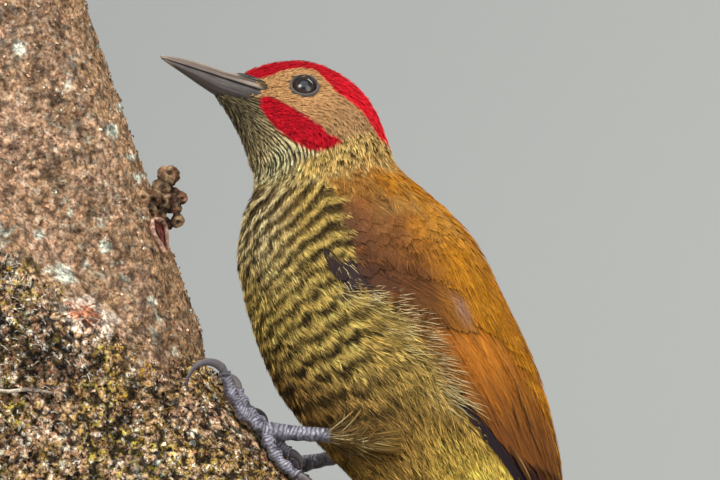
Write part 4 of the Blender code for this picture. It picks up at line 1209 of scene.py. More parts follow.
def make_tail():
    """Six feathers on each side, from the outermost and shortest to the middle pair."""
    tail, steps = Gathered(), np.linspace(0, 1, 60)
    shares, across, faces = vane_template(30, 12, blunt=0.9, stem=0.75)
    rows = between(TAIL_LINE, steps * (len(TAIL_LINE) - 1))
    for rank in range(5, -1, -1):
        line = shares * (1.0 - 0.085 * rank ** 1.15)
        x, z, half_width, thick = (np.interp(line, steps, rows[:, k]) for k in range(4))
        fan = np.interp(line, (0, 0.35, 0.7, 1.0), (7.2, 10.0, 9.0, 5.2))
        for hand in (-1.0, 1.0):
            centre = hand * (0.35 + 0.155 * rank) * fan * (rank > 0) + hand * 0.9 * (rank == 0)
            y = centre + across * 3.3 * (1 - 0.35 * line)
            roof = (1 - (y / np.maximum(half_width, 3.0)) ** 2) * 1.4
            height = roof + thick * 0.40 - 0.22 * rank + 0.22 * (1 - np.minimum(np.abs(across) * 5, 1))
            points = BIRD_AT + np.stack((x, y, z), -1) + TAIL_UP * height[:, None]
            lot = wing_rng.random()
            tail.add(faces, points, across, shares, np.full(len(line), lot), tail_colour(shares, across, lot))
    points, across, shares, lots, tint = tail.joined()
    piece = add_piece("tail_feathers", points, tail.faces, DUSK_FINISH,
                      {"along": shares, "across": across, "chance": lots}, {"plume": tint})
    show(piece, "bronze_feathers", "tail")


make_tail()


# ---------------------------------------------------------------- bill
# The chisel-tipped bill: two mandibles of grey horn, ridged and finely grooved along their length,
# that meet in a thin dark line.

BILL_RIDGE = ((-51.7, 45.6), (-45.7, 44.8), (-39.9, 43.3), (-34.4, 41.5), (-29.4, 40.6), (-24.6, 38.9))
BILL_MOUTH = ((-51.5, 44.8), (-46.2, 42.9), (-41.0, 41.0), (-35.6, 39.0), (-29.8, 36.9), (-24.2, 34.9))
BILL_UNDER = ((-49.9, 43.6), (-45.7, 40.9), (-41.0, 37.8), (-36.4, 35.1), (-31.0, 32.8), (-26.0, 30.9))
BILL_HALF_WIDTHS = ((0.42,), (1.4,), (2.5,), (3.6,), (4.8,), (5.9,))


def make_horn():
    """Grey horn with fine grooves along it."""
    made, tree, shader = new_finish("bill_horn_finish")
    along, across = attribute(tree, "along"), attribute(tree, "across")
    base = attribute(tree, "plume", "Color")
    place = node(tree, "ShaderNodeCombineXYZ", {0: math_node(tree, "MULTIPLY", along, 5.0),
                                                1: math_node(tree, "MULTIPLY", across, 34.0),
                                                2: 3.0}).outputs[0]
    grain = noise(tree, 1.0, 4.0, Vector=place, Roughness=0.6)
    feed(shader, {
        "Base Color": scaled(tree, base, spread(tree, grain, 0.3, 0.7, 0.42, 1.40)),
        "Normal": bump(tree, 0.55, 0.00022, grain), "Roughness": spread(tree, grain, 0.0, 1.0, 0.30, 0.52),
        "Specular IOR Level": 0.45})
    return made


HORN = make_horn()
BILL_ROWS, BILL_ARCH, BILL_FLOOR = 72, 40, 7
FLOOR_ACROSS = np.linspace(-1, 1, BILL_FLOOR + 2)[1:-1]


def bell(value, centre, width):
    """One at the centre, falling away smoothly on both sides."""
    return np.exp(-((value - centre) / width) ** 2)


def closed_tube(tint, rows, sides, *columns):
    """Draws the two ends of a tube together. Returns its faces, its colours and the columns of
    numbers, each with two rows more, one for each end's middle."""
    faces = [grid_faces(rows, sides, wrap=True)]
    for row in (0, rows - 1):
        loop = np.arange(sides) + row * sides
        faces.append(np.stack((loop, np.roll(loop, -1), np.full(sides, len(tint))), -1))
        tint, *columns = (np.concatenate((v, v[loop].mean(0)[None])) for v in (tint, *columns))
    return faces, tint, *columns


def mandible_form(edge, keel, groove_depth):
    """The points of one mandible from the tip to the root: its arch, then its flat inner side."""
    t = np.linspace(0, len(edge) - 1, BILL_ROWS)
    inner, half = between(BILL_MOUTH, t), between(BILL_HALF_WIDTHS, t)
    lift = between(edge, t) - inner
    tall = np.linalg.norm(lift, axis=-1, keepdims=True)
    lift = lift / tall
    inner = inner + lift * 0.12
    tall = np.maximum(tall - 0.12, 0.45)
    a = np.linspace(0, math.pi, BILL_ARCH + 1)[None]
    # A raised ridge, a hollow beside it, a swollen cutting edge, and the nostril groove.
    share, high = t[:, None] / t[-1], np.abs(np.sin(a))
    hollow = bell(high, 0.72, 0.12) * rise(share, 0.15, 0.5)
    groove = bell(high, 0.40, 0.07) * rise(share, 0.25, 0.6)
    lip = bell(high, 0.10, 0.10) * rise(share, 0.02, 0.2)
    swell = 1 - 0.07 * hollow - groove_depth * groove + 0.035 * lip
    tip_round = (1 - np.clip(1 - t / 0.25, 0, 1) ** 2)[:, None]
    y = half * np.cos(a) * swell * (0.6 + 0.4 * tip_round)
    rise_by = tall * high ** keel * (1 - 0.04 * groove)
    arch = np.stack((inner[:, :1] + lift[:, :1] * rise_by, y, inner[:, 1:] + lift[:, 1:] * rise_by), -1)
    floor = np.stack(np.broadcast_arrays(inner[:, None, 0], FLOOR_ACROSS * half, inner[:, None, 1]), -1)
    return np.concatenate((arch, floor), 1)


def upper_colour(along, height):
    # The ridge is paler: paler horn, with a painted highlight along the top.
    tint = over(paint(118, 101, 88), paint(186, 163, 136),
                rise(height, 0.55, 0.95) * (0.45 + 0.4 * rise(along, 0.2, 0.7)))
    tint = over(tint, paint(198, 181, 164), 0.75 * rise(along, 0.55, 0.9) * bell(height, 0.22, 0.12))
    return over(tint, paint(52, 50, 52), 0.7 * bell(height, 0.42, 0.08) * rise(along, 0.25, 0.6))


def lower_colour(along, height):
    tint = over(paint(74, 65, 61), paint(134, 126, 120), 0.5 * bell(height, 0.25, 0.15))
    return over(tint, paint(44, 42, 46), rise(along, 0.6, 0.95) * 0.7)


def make_mandible(name, edge, keel, groove_depth, colour):
    """One mandible: its form, its colours and its two closed ends."""
    points = mandible_form(edge, keel, groove_depth)
    rings = points.shape[1]
    a = np.linspace(0, math.pi, BILL_ARCH + 1)
    along = np.repeat(np.linspace(0, 1, BILL_ROWS), rings)
    across = np.tile(np.concatenate((np.cos(a), FLOOR_ACROSS)), BILL_ROWS)
    height = np.tile(np.concatenate((np.sin(a), np.zeros(BILL_FLOOR))), BILL_ROWS)
    tint = over(colour(along, height), paint(184, 167, 142), 0.7 * (1 - rise(along, 0.0, 0.12)))
    tint = over(tint, paint(36, 34, 36), 0.8 * (1 - rise(height, 0.0, 0.06)))
    placed = BIRD_AT + turned(points.reshape(-1, 3), 1.0)
    faces, tint, placed, along, across = closed_tube(tint, BILL_ROWS, rings, placed, along, across)
    piece = add_piece(name + "_horn", placed, faces, HORN, {"along": along, "across": across},
                      {"plume": tint})
    show(piece, "bill_horn", name)


make_mandible("bill_upper", BILL_RIDGE, 0.9, 0.10, upper_colour)
make_mandible("bill_lower", BILL_UNDER, 0.8, 0.07, lower_colour)

# Short bristly tufts lie forwards over the nostrils and run along the chin.
tufts = Plumage("nostril_tufts", SOFT_PLUME, "plumage")
bristle_rng = np.random.default_rng(17)
BRISTLE_STEPS = 4


def lay_bristles(count, low, high, side_low, side_high, length, paints):
    """Fine bristles on the bill's root, pointing to its tip."""
    t = bristle_rng.uniform(low, high, count)
    a = bristle_rng.uniform(side_low, side_high, count)
    hand = bristle_rng.choice((-1.0, 1.0), count)
    steps, corners = np.linspace(0, 1, BRISTLE_STEPS), 2 * BRISTLE_STEPS
    points = []
    for s in steps:
        u = np.clip(t - s * length, 0.3, 5.2)
        ridge, mouth = between(BILL_RIDGE, u), between(BILL_MOUTH, u)
        half = between(BILL_HALF_WIDTHS, u)[:, 0]
        height = mouth + (ridge - mouth) * (np.sin(a)[:, None] ** 0.9)
        bow = math.sin(math.pi * s)
        out = half * np.cos(a) * hand * (1.0 + (0.05 + 0.06 * bow))
        points.append(np.stack((height[:, 0], out, height[:, 1] + 0.22 * bow + 0.06), -1))
    line = BIRD_AT + turned(np.stack(points, 1), 1.0)
    ahead = unit(np.diff(line, axis=1, append=line[:, -1:] * 2 - line[:, -2:-1]))
    side = unit(np.cross(ahead, bristle_rng.normal(0, 1, (count, 1, 3))))
    width = 0.10 * np.array((1.0, 0.9, 0.6, 0.1))[None, :, None]
    points = np.stack((line - side * width, line + side * width), 2).reshape(count, corners, 3)
    lot = np.broadcast_to(bristle_rng.random(count)[:, None], (count, corners))
    tint = np.where(lot[..., None] < 0.7, *paints) * (0.8 + 0.4 * bristle_rng.random(count)[:, None, None])
    flat = np.stack((0.5 + 0.003 * (lot - 0.5) + 0.2 * hand[:, None],
                     t[:, None] * 0.01 + 0.003 * np.ones(corners)), -1)
    along = np.tile(np.repeat(steps, 2), (count, 1))
    tufts.made.append((points, np.zeros((count, corners)), along, lot, tint, flat, [ribbon(BRISTLE_STEPS)]))


lay_bristles(420, 3.9, 5.0, 0.55, 1.57, 0.55, (paint(66, 64, 62), paint(120, 116, 108)))
lay_bristles(200, 4.55, 5.05, 0.02, 0.55, 0.32, (paint(120, 98, 70), paint(64, 56, 46)))
tufts.pieces()


# ---------------------------------------------------------------- eyes
# Glass eyes, dark brown round a black pupil, in rings of bare grey skin that form the lids.

EYE_FORM, EYE_RADIUS = np.array((-17.3, -7.5, 35.8)), 3.3

BALL_ROWS, BALL_SIDES, LID_ROWS, LID_SIDES = 41, 64, 33, 72


def make_glass():
    """Clear dark glass: a black pupil, then a deep brown iris."""
    made, tree, shader = new_finish("eye_glass")
    iris_mask = spread(tree, attribute(tree, "along"), 0.50, 0.56)
    iris = mixed(tree, noise(tree, 1800.0, 2.0), (0.020, 0.010, 0.007, 1), (0.050, 0.026, 0.016, 1))
    feed(shader, {"Base Color": mixed(tree, iris_mask, (0.003, 0.003, 0.004, 1), iris), "Roughness": 0.20,
                  "Specular IOR Level": 0.5, "Coat Weight": 0.3, "Coat Roughness": 0.10})
    return made


def make_lid():
    """Bare skin, black at its inner edge, with fine pimples."""
    made, tree, shader = new_finish("lid_skin")
    bumps = node(tree, "ShaderNodeTexVoronoi", {"Scale": 2600.0}).outputs["Distance"]
    edge = spread(tree, attribute(tree, "along"), 0.12, 0.50)
    tone = mixed(tree, edge, (0.016, 0.016, 0.019, 1), (0.15, 0.130, 0.110, 1))
    tone = mixed(tree, math_node(tree, "MULTIPLY", bumps, 0.55), tone, (0.10, 0.10, 0.11, 1))
    feed(shader, {"Base Color": tone, "Normal": bump(tree, 0.5, 0.0001, bumps), "Roughness": 0.5})
    return made


def make_eye(name, hand):
    """One glass eye, looking out between the line from its centre and the cheek's own normal,
    and its ring of bare skin."""
    centre = BIRD_AT + turned((EYE_FORM * (1, hand, 1))[None], 1.0)[0]
    place = np.array([EYE_SECTION]), np.array([EYE_ROUND * hand])
    outer, normal = on_body(*place)[0], slopes(*place)[2][0]
    look = unit(unit(outer - centre) * 0.4 + normal * 0.6)
    right = unit(np.cross(look, np.array((0.0, 0.0, 1.0))))
    up = np.cross(right, look)
    polar, turn = pairs(np.linspace(0.0, math.pi, BALL_ROWS), full_turn(BALL_SIDES))
    directions = (look * np.cos(polar)[..., None] + right * (np.sin(polar) * np.cos(turn))[..., None]
                  + up * (np.sin(polar) * np.sin(turn))[..., None])
    ball = add_piece(f"eye_{name}_glass", (centre + EYE_RADIUS * directions).reshape(-1, 3),
                     [grid_faces(BALL_ROWS, BALL_SIDES, wrap=True)], GLASS,
                     {"along": np.sin(polar).ravel() + (polar.ravel() > math.pi / 2)})
    show(ball, "eye", f"eye_{name}")
    level = float(np.dot(outer - centre, look))
    profile = ((2.86, 1.40), (2.88, 1.69), (2.92, 1.78), (2.99, 1.79), (3.08, max(level, 1.5) + 0.12),
               (3.20, max(level, 1.4) + 0.10), (3.32, level), (3.45, level - 0.45), (3.6, level - 1.0))
    steps = np.linspace(0, 1, LID_ROWS)
    places = steps * (len(profile) - 1)
    radius, height = (np.interp(places, np.arange(len(profile)), column) for column in zip(*profile))
    around = full_turn(LID_SIDES)
    oval = 1 + 0.055 * np.cos(2 * around)
    ripple = 0.03 * np.sin(23 * around)[None] * (steps[:, None] > 0.3)
    wide = radius[:, None] * (1 + (oval - 1) * rise(radius, 2.5, 3.0)[:, None])
    points = (centre + right * (wide * np.cos(around))[..., None] + up * (wide * np.sin(around))[..., None]
              + look * (height[:, None] + ripple)[..., None])
    lids = add_piece(f"eye_{name}_lids", points.reshape(-1, 3), [grid_faces(LID_ROWS, LID_SIDES, wrap=True)],
                     LID,
                     {"along": np.repeat(steps, LID_SIDES)})
    show(lids, "leg_skin")


GLASS, LID = make_glass(), make_lid()
make_eye("left", 1.0)
make_eye("right", -1.0)


# ---------------------------------------------------------------- legs and feet
# Bare blue-grey shanks and toes, cast and painted: plates overlap down the front, small round
# scales cover the sides and soles, and two toes point up the bark and two down.

BOUGH_LOW, BOUGH_HIGH = np.array((38.0, 0.0, -116.0)), np.array((-36.0, 0.0, -35.0))
BOUGH_RADIUS, BOUGH_SIDE = 40.0, -4.0
BOUGH_ABOVE, BOUGH_BELOW = 86.0, 18.0
DOWN = unit(BOUGH_LOW - BOUGH_HIGH)
CREST = np.array((-DOWN[2], 0.0, DOWN[0]))


BOUGH_AXIS = BIRD_AT + np.array((0.0, BOUGH_SIDE, 0.0)) + BOUGH_HIGH - CREST * BOUGH_RADIUS


def on_bark(down_by, across, height=0.0):
    """Points over the bough: down it from its upper mark, out from its crest, and up."""
    down_by, across, height = np.broadcast_arrays(*(np.asarray(v, float) for v in (down_by, across, height)))
    lean = (across / BOUGH_RADIUS)[..., None]
    outward = CREST * np.cos(lean) + np.array((0.0, 1.0, 0.0)) * np.sin(lean)
    return BOUGH_AXIS + DOWN * down_by[..., None] + outward * (BOUGH_RADIUS + height[..., None])


def off_bough(points):
    """Which way is straight out from the bough's middle line, at any points."""
    return unit(points - (BOUGH_AXIS + DOWN * ((points - BIRD_AT - BOUGH_HIGH) @ DOWN)[..., None]))


def bark_normal(down_by, across):
    return unit(on_bark(down_by, across, 1.0) - on_bark(down_by, across, 0.0))


# Where each foot's toes meet, over the bough; the heel above it; and each toe's places along its
# length, its claw's bend and the angle that the claw starts at.
JOINTS = {"left": (17.6, -10.5, 2.6), "right": (28.6, 18.5, 2.6)}
HEELS = {"left": (-0.6, -17.0, -48.6), "right": (6.4, 18.0, -52.6)}
TOES = {
    "toe_3": (((-2.4, 1.3, 0.2), (-7.0, 2.4, -0.3), (-12.5, 3.4, 1.4), (-18.0, 4.2, 4.4)), 5.8, 50.0),
    "toe_2": (((-2.5, -2.4, -0.3), (-6.0, -3.9, -0.8), (-9.2, -5.4, -0.6), (-12.0, -6.6, 0.2)), 3.6, 45.0),
    "toe_4": (((2.4, 2.2, -0.5), (5.8, 3.6, -0.8), (9.6, 4.6, -0.6), (13.4, 5.0, 0.3)), 4.0, 40.0),
    "toe_1": (((2.6, -2.2, -0.6), (5.0, -3.2, -0.8), (7.8, -3.8, -0.3)), 3.2, 40.0)}
SHANK_RADIUS, TOE_RADIUS, CLAW_RADIUS, CLAW_TIP = 2.0, 1.65, 1.15, 0.16
SHANK_GRID, TOE_GRID, CLAW_GRID = (150, 28), (140, 26), (48, 20)
HORNY, SCALE_HIGHLIGHT, SCALE_DARK_AND_SHADE = paint(100, 92, 94), paint(190, 186, 200), paint(36, 34, 42)


def make_scaly():
    """Skin in small round scales, over the colours that each piece brings, darker in the gaps between the
    scales: the skin's own creases with painted shade in them.
    """
    made, tree, shader = new_finish("scaly_skin")
    place, base = node(tree, "ShaderNodeTexCoord").outputs["Object"], attribute(tree, "plume", "Color")
    cells = node(tree, "ShaderNodeTexVoronoi", {"Vector": place, "Scale": 1300.0}).outputs["Distance"]
    grain = noise(tree, 1900.0, 3.0, Vector=place)
    # Darker in the gaps between the scales and lighter where the grain stands up: painted shade and painted
    # light.
    level = math_node(tree, "MULTIPLY_ADD", cells, -1.0, 1.45)
    level = math_node(tree, "MULTIPLY", level, math_node(tree, "MULTIPLY_ADD", grain, 0.5, 0.75))
    height = math_node(tree, "MULTIPLY_ADD", cells, -1.0, grain)
    feed(shader, {"Base Color": scaled(tree, base, level), "Normal": bump(tree, 0.5, 0.00012, height),
                  "Roughness": 0.42, "Specular IOR Level": 0.5})
    return made


SCALY = make_scaly()
CLAW_HORN = feather_finish("claw_horn_finish", 8.0, 0.0, 0.18, 0.4, 0.3)


def limb_tube(path, radii, sides, top, plate=0.0, flat=1.0):
    """A tube round a path, with overlapping plates on its top side. Returns points and colours, the colours
    with painted highlights and painted shade on the plates.
    """
    count = len(path)
    ahead = unit(np.gradient(path, axis=0))
    up = unit(top - ahead * (top * ahead).sum(-1, keepdims=True))
    side = np.cross(ahead, up)
    length = np.concatenate(((0,), np.cumsum(np.linalg.norm(np.diff(path, axis=0), axis=-1))))
    a = full_turn(sides)[None]
    upper = rise(np.sin(a), -0.15, 0.35)
    unrolled = np.stack(np.broadcast_arrays(length[:, None], 1.4 * np.cos(a), 1.4 * np.sin(a)), -1)
    wander = 0.75 * cloud(unrolled, 1.7, 71) + 0.16 * np.sin(2 * a) + 0.5 * (1 - rise(np.sin(a), 0.1, 0.3))
    saw = (length[:, None] / max(plate, 1e-3) + wander) % 1.0
    edge = np.where(saw > 0.86, (1 - saw) / 0.14, saw / 0.86)
    swell = (1 + 0.07 * (edge - 0.5) * (0.4 + 0.6 * upper)) if plate else np.ones((count, sides))
    pads = 0.05 * np.cos(2 * math.pi * length / 3.4)[:, None] * (1 - upper)
    radius = radii[:, None] * (swell + (pads if plate else 0))
    points = (path[:, None] + side[:, None] * (radius * np.cos(a))[..., None]
              + up[:, None] * (radius * flat * np.sin(a))[..., None])
    # Each plate lightens along its length to a painted highlight, most on the side away from the bark; its
    # root under the plate before it and the side against the bark are darkened as painted shade. The dark
    # blotches at random are the skin's own.
    mark = over(paint(112, 108, 118), SCALE_HIGHLIGHT, (0.3 + 0.45 * upper) * rise(edge, 0.2, 0.95))
    mark = over(mark, SCALE_DARK_AND_SHADE, (0.5 + 0.25 * upper) * (1 - rise(edge, 0.0, 0.26)))
    mark = over(mark, SCALE_DARK_AND_SHADE, 0.3 * (1 - upper))
    mark = over(mark, SCALE_DARK_AND_SHADE, 0.7 * rise(cloud(points, 1.3, 23), 0.15, 0.6))
    return points.reshape(-1, 3), (mark * (1 + 0.4 * cloud(points, 0.7, 15)[..., None])).reshape(-1, 3)


def scaled_tube(name, grid, path, radii, top, plate, replaced):
    """A closed and scaly tube, as one piece."""
    points, tint = limb_tube(path, radii, grid[1], top, plate)
    faces, tint, points = closed_tube(tint, *grid, points)
    show(add_piece(name, points, faces, SCALY, None, {"plume": tint}), "leg_skin", replaced)


def make_shank(foot, joint, heel):
    s = np.linspace(-0.10, 1.05, SHANK_GRID[0])
    path = joint + (heel - joint) * s[:, None]
    radii = np.interp(s, (-0.10, -0.04, 0.05, 0.3, 0.6, 0.9, 1.05), (0.35, 0.95, 1.2, 0.93, 0.88, 0.95, 1.0))
    top = np.broadcast_to(bark_normal(*JOINTS[foot][:2]), path.shape)
    scaled_tube(f"shank_{foot}", SHANK_GRID, path, SHANK_RADIUS * radii, top, 1.05, f"tarsus_{foot}")


def make_toe(name, joint, knots):
    """One toe through its knots, swollen at each joint. Returns its middle line."""
    knots = np.concatenate(((joint + unit(knots[0] - joint) * 0.4)[None], knots))
    last = len(knots) - 1
    t = np.linspace(0, last, TOE_GRID[0])
    path = between(knots, t)
    radii = TOE_RADIUS * (1.0 + 0.15 * np.cos(2 * math.pi * (t - 1.0)) - 0.035 * t)
    radii = radii * np.interp(t, (0, 0.25, last - 0.12, last), (0.8, 1, 1, 0.72))
    scaled_tube(f"{name}_scaled", TOE_GRID, path, radii, off_bough(path), 0.85, name)
    return path


def make_claw(name, root, bend, begin, end, normal, forward):
    """A horny claw, deeper than wide, bent in the plane of its normal and its way forward."""
    rows, sides = CLAW_GRID
    share = np.linspace(0, 1, rows)
    centre = root - normal * (bend * math.cos(begin)) + forward * (bend * math.sin(begin))
    a = -begin + (begin + end) * share
    path = centre + normal * (bend * np.cos(a))[:, None] + forward * (bend * np.sin(a))[:, None]
    thick = CLAW_RADIUS * 1.04
    radii = (thick - (thick - CLAW_TIP) * share ** 1.15) * np.interp(share, (0, 0.06, 1), (0.8, 1, 1))
    points, _ = limb_tube(path, radii * 0.82, sides, unit(path - centre), flat=1.22)
    tint = over(HORNY, paint(44, 40, 44), np.repeat(rise(share, 0.3, 1.0) * 0.7, sides))
    tint = over(tint, paint(150, 142, 142), 0.35 * np.tile(rise(np.sin(full_turn(sides)), 0.4, 1), rows))
    faces, tint, points = closed_tube(tint, rows, sides, points)
    values = {"along": np.append(np.repeat(share, sides), (0, 1)), "across": np.zeros(len(points)),
              "chance": np.full(len(points), 0.4)}
    show(add_piece(f"{name}_horn", points, faces, CLAW_HORN, values, {"plume": tint}), "claw_horn", name)


def make_foot(foot, side):
    """A shank, four toes and their claws, with each claw's tip just over the bark."""
    down_by, across, height = JOINTS[foot]
    joint = on_bark(down_by, across, height)
    make_shank(foot, joint, BIRD_AT + np.array(HEELS[foot]))
    for toe, (places, bend, start) in TOES.items():
        path = make_toe(f"{toe}_{foot}", joint, np.array(
            [on_bark(down_by + d, across + side * out, height + up) for d, out, up in places]))
        d, out, up = places[-1]
        normal = bark_normal(down_by + d, across + side * out)
        along = unit(path[-1] - path[-14])
        forward = unit(along - normal * (along @ normal))
        begin = math.radians(start)
        end = math.acos(math.cos(begin) - (height + up - 0.45) / bend)
        if (toe, foot) == ("toe_3", "left"):
            # This claw is held out over the bark, in an upright plane turned to the bird's left.
            normal, forward = np.array((0.0, 0.0, 1.0)), np.array((-math.cos(0.52), -math.sin(0.52), 0.0))
            end = math.radians(103.0)
        make_claw(f"claw_{toe[-1]}_{foot}", path[-1] + along * 0.15, bend, begin, end, normal, forward)


make_foot("left", -1.0)
make_foot("right", 1.0)

# Feathers of the thigh that run out over the top of each shank.
cuffs = Plumage("thigh_cuffs", SOFT_PLUME, "plumage")
cuff_rng = np.random.default_rng(29)
CUFF_COUNT, CUFF_STEPS = 1100, 7
CUFF_LINE = np.linspace(0, 1, CUFF_STEPS)[None, :, None]
CUFF_WIDTH = np.interp(CUFF_LINE, (0, 0.3, 0.7, 1), (0.8, 1, 0.7, 0.1))
grid_at, grid_ring = pairs(np.linspace(16.5, 24.0, 120), np.linspace(0.45, 0.95, 120))


def lay_cuff(foot, hand):
    """Plumes that start on the coat above a shank and bend in round it."""
    heel = BIRD_AT + np.array(HEELS[foot])
    shin = unit(on_bark(*JOINTS[foot]) - heel)
    coat_points = on_coat(grid_at, grid_ring * hand, -0.5).reshape(-1, 3)
    wanted = heel + np.stack((16.0 * cuff_rng.random(CUFF_COUNT) ** 1.5 - 3.0, np.zeros(CUFF_COUNT),
                              cuff_rng.normal(1.0, 4.2, CUFF_COUNT)), -1)
    nearest = np.argmin(np.linalg.norm((coat_points[None] - wanted[:, None])[..., [0, 2]], axis=-1), axis=1)
    root, root_at = coat_points[nearest], grid_at.ravel()[nearest]
    root_ring = grid_ring.ravel()[nearest] * hand
    side_a = unit(np.cross(shin, np.array((0.0, 0.0, 1.0))))
    side_b = np.cross(shin, side_a)
    turn = np.arctan2((root - heel) @ side_b, (root - heel) @ side_a) + cuff_rng.normal(0, 0.5, CUFF_COUNT)
    spoke = side_a * np.cos(turn)[:, None] + side_b * np.sin(turn)[:, None]
    reach = (cuff_rng.uniform(0.0, 1.0, CUFF_COUNT) ** 1.5 * 8.5 - 1.0)[:, None]
    tip = heel + shin * reach + spoke * (2.6 - 0.06 * reach) + cuff_rng.normal(0, 0.25, (CUFF_COUNT, 3))
    share = CUFF_LINE
    middle = (root + tip) / 2 + spoke * 1.6 - shin * 1.2
    line = (root[:, None] * (1 - share) ** 2 + middle[:, None] * 2 * share * (1 - share)
            + tip[:, None] * share ** 2)
    side = unit(np.cross(np.gradient(line, axis=1), spoke[:, None]))
    width = cuff_rng.uniform(0.08, 0.20, CUFF_COUNT)[:, None, None] * CUFF_WIDTH
    shape = (CUFF_COUNT, 2 * CUFF_STEPS)
    points = np.stack((line - side * width, line + side * width), 2).reshape(*shape, 3)
    lot = np.broadcast_to(cuff_rng.random(CUFF_COUNT)[:, None], shape)
    along = np.tile(np.repeat(share.ravel(), 2), (CUFF_COUNT, 1))
    edges = np.tile((-1.0, 1.0), (CUFF_COUNT, CUFF_STEPS))
    at, ring = np.broadcast_to(root_at[:, None], shape), np.broadcast_to(root_ring[:, None], shape)
    tint = over(markings(at, ring, lot, along), paint(104, 80, 48), 0.6 * rise(along, 0.2, 0.8))
    tint = over(tint, paint(196, 176, 124), rise(lot, 0.7, 0.95) * rise(along, 0.2, 0.7))
    tint = tint * (0.55 + 0.7 * lot[..., None])
    flat = np.stack(((ring + 1) % 2 / 2 + 0.0015 * edges, at / BODY_END + 0.003 * (along - 0.5)), -1)
    cuffs.made.append((points, edges, along, lot, tint, flat, [ribbon(CUFF_STEPS)]))


lay_cuff("left", 1.0)
lay_cuff("right", -1.0)
cuffs.pieces()


# ---------------------------------------------------------------- perch
# A cut length of forked bough in its own bark: the thick sloping bough is rough and grown with
# moss and lichen, the limb behind it is smoother and carries a burr. The ends are sawn flat.

LIMB_FOOT, LIMB_TOP, LIMB_RADIUS = np.array((-55.0, 3.0, -68.0)), np.array((-104.4, 3.0, 76.0)), 28.5
# The burr's knobs: their places and radii.
BURR_BUMPS = (
    (-48.1, 0.0, 16.0, 3.2), (-49.9, -0.6, 12.8, 3.0), (-47.2, 0.4, 11.4, 2.4), (-44.8, -1.0, 10.5, 1.8),
    (-46.9, -1.4, 8.4, 2.4), (-49.6, -2.6, 9.2, 2.9), (-52.0, -6.0, 10.4, 2.7), (-54.2, -11.6, 9.8, 2.5),
    (-52.4, -8.5, 7.6, 2.2), (-50.4, -3.4, 6.4, 2.3), (-45.9, -1.0, 4.9, 2.0), (-48.6, -0.5, 4.2, 1.9))
FOOTHOLDS = [on_bark(d - 3, a) for d, a, _ in JOINTS.values()] + [BIRD_AT + np.array((36.0, 0.0, -116.0))]
# Spots of pale lichen on the limb: their places and sizes.
LICHEN_SPOTS = ((-72.3, -8.6, 2.7), (-61.3, 27.0, 1.9), (-56.9, 20.8, 1.2), (-62.5, -1.6, 1.5),
                (-55.2, 15.6, 1.3), (-84.0, 47.0, 2.2), (-78.3, 1.2, 1.2), (-59.5, 33.5, 1.4),
                (-51.3, -15.2, 1.2))


def make_bark(name, fine):
    """Bark: granules with flecks of rust, moss and pale crust, lighter on the raised grain as painted light
    and darker in the gaps between the granules as painted shade. The numbers on each point say how mossy it
    is (along) and how rough and speckled (across)."""
    made, tree, shader = new_finish(name)
    place, base = node(tree, "ShaderNodeTexCoord").outputs["Object"], attribute(tree, "plume", "Color")
    mossy, rough = attribute(tree, "along"), attribute(tree, "across")
    dark = math_node(tree, "MULTIPLY_ADD", rough, -0.34, 0.42)
    light = math_node(tree, "MULTIPLY_ADD", rough, 1.7, 1.75)
    flecks = math_node(tree, "MULTIPLY_ADD", rough, 0.5, 0.4)
    grain = noise(tree, fine, 5.0, Vector=place, Roughness=0.75)
    coarse = noise(tree, fine * 0.22, 4.0, Vector=place, Roughness=0.6, Distortion=0.6)
    drift = scaled(tree, noise(tree, fine * 0.4, 2.0, "Color", Vector=place), 0.0022)
    bent = node(tree, "ShaderNodeVectorMath", {0: place, 1: drift}, operation="ADD").outputs[0]
    granules = node(tree, "ShaderNodeTexVoronoi", {"Vector": bent, "Scale": fine * 0.42}).outputs["Distance"]
    three = noise(tree, fine * 0.55, 3.0, "Color", Vector=place, Roughness=0.65)
    rust, moss, crust = node(tree, "ShaderNodeSeparateColor", {0: three}).outputs
    rust = spread(tree, rust, 0.52, 0.62, 0.0, 0.55)
    moss = math_node(tree, "MULTIPLY", spread(tree, moss, 0.50, 0.57), mossy)
    crust = spread(tree, crust, 0.57, 0.63, 0.0, flecks)
    tone = mixed(tree, rust, base, (0.30, 0.13, 0.07, 1))
    tone = mixed(tree, moss, tone, (0.34, 0.26, 0.042, 1))
    tone = mixed(tree, crust, tone, (0.66, 0.58, 0.47, 1))
    # Lighter where the grain and the coarse relief stand up and darker in the gaps between granules: painted
    # light and painted shade over the bark's own mottling.
    level = spread(tree, grain, 0.38, 0.62, dark, light)
    granule_gap_shade = spread(tree, granules, 0.42, 0.72, 1.0, dark)
    granule_gap_shade = math_node(tree, "MULTIPLY", granule_gap_shade, spread(tree, coarse, 0.36, 0.62, 0.62, 1.22))
    tone = scaled(tree, tone, math_node(tree, "MULTIPLY", level, granule_gap_shade))
    height = math_node(tree, "SUBTRACT", math_node(tree, "MULTIPLY", grain, 0.8), granules)
    height = math_node(tree, "MULTIPLY_ADD", coarse, 2.0, height)
    feed(shader, {"Base Color": tone, "Normal": bump(tree, 1.0, 0.0007, height), "Roughness": 0.9,
                  "Specular IOR Level": 0.2})
    return made


BARK = make_bark("bark", 1150.0)
BARK_BROWN, BARK_PINK, BARK_DARK = paint(178, 140, 104), paint(212, 170, 136), paint(72, 52, 40)
MOSS, MOSS_DARK, LICHEN = paint(152, 122, 46), paint(92, 74, 42), paint(222, 226, 204)


def side_on(points):
    """Places across and up, as seen from the left side."""
    return points[..., 0] - BIRD_AT[0], points[..., 2] - BIRD_AT[2]


def crotch_shade_reach(points):
    """How far off the painted shade in the fork between bough and limb a point lies: 1 is its edge."""
    x, z = side_on(points)
    return np.hypot((x + 79.0) / 15.0, (z + 0.5 * (x + 79.0) + 26.0) / 6.5) + 0.35 * cloud(points, 4.0, 61)


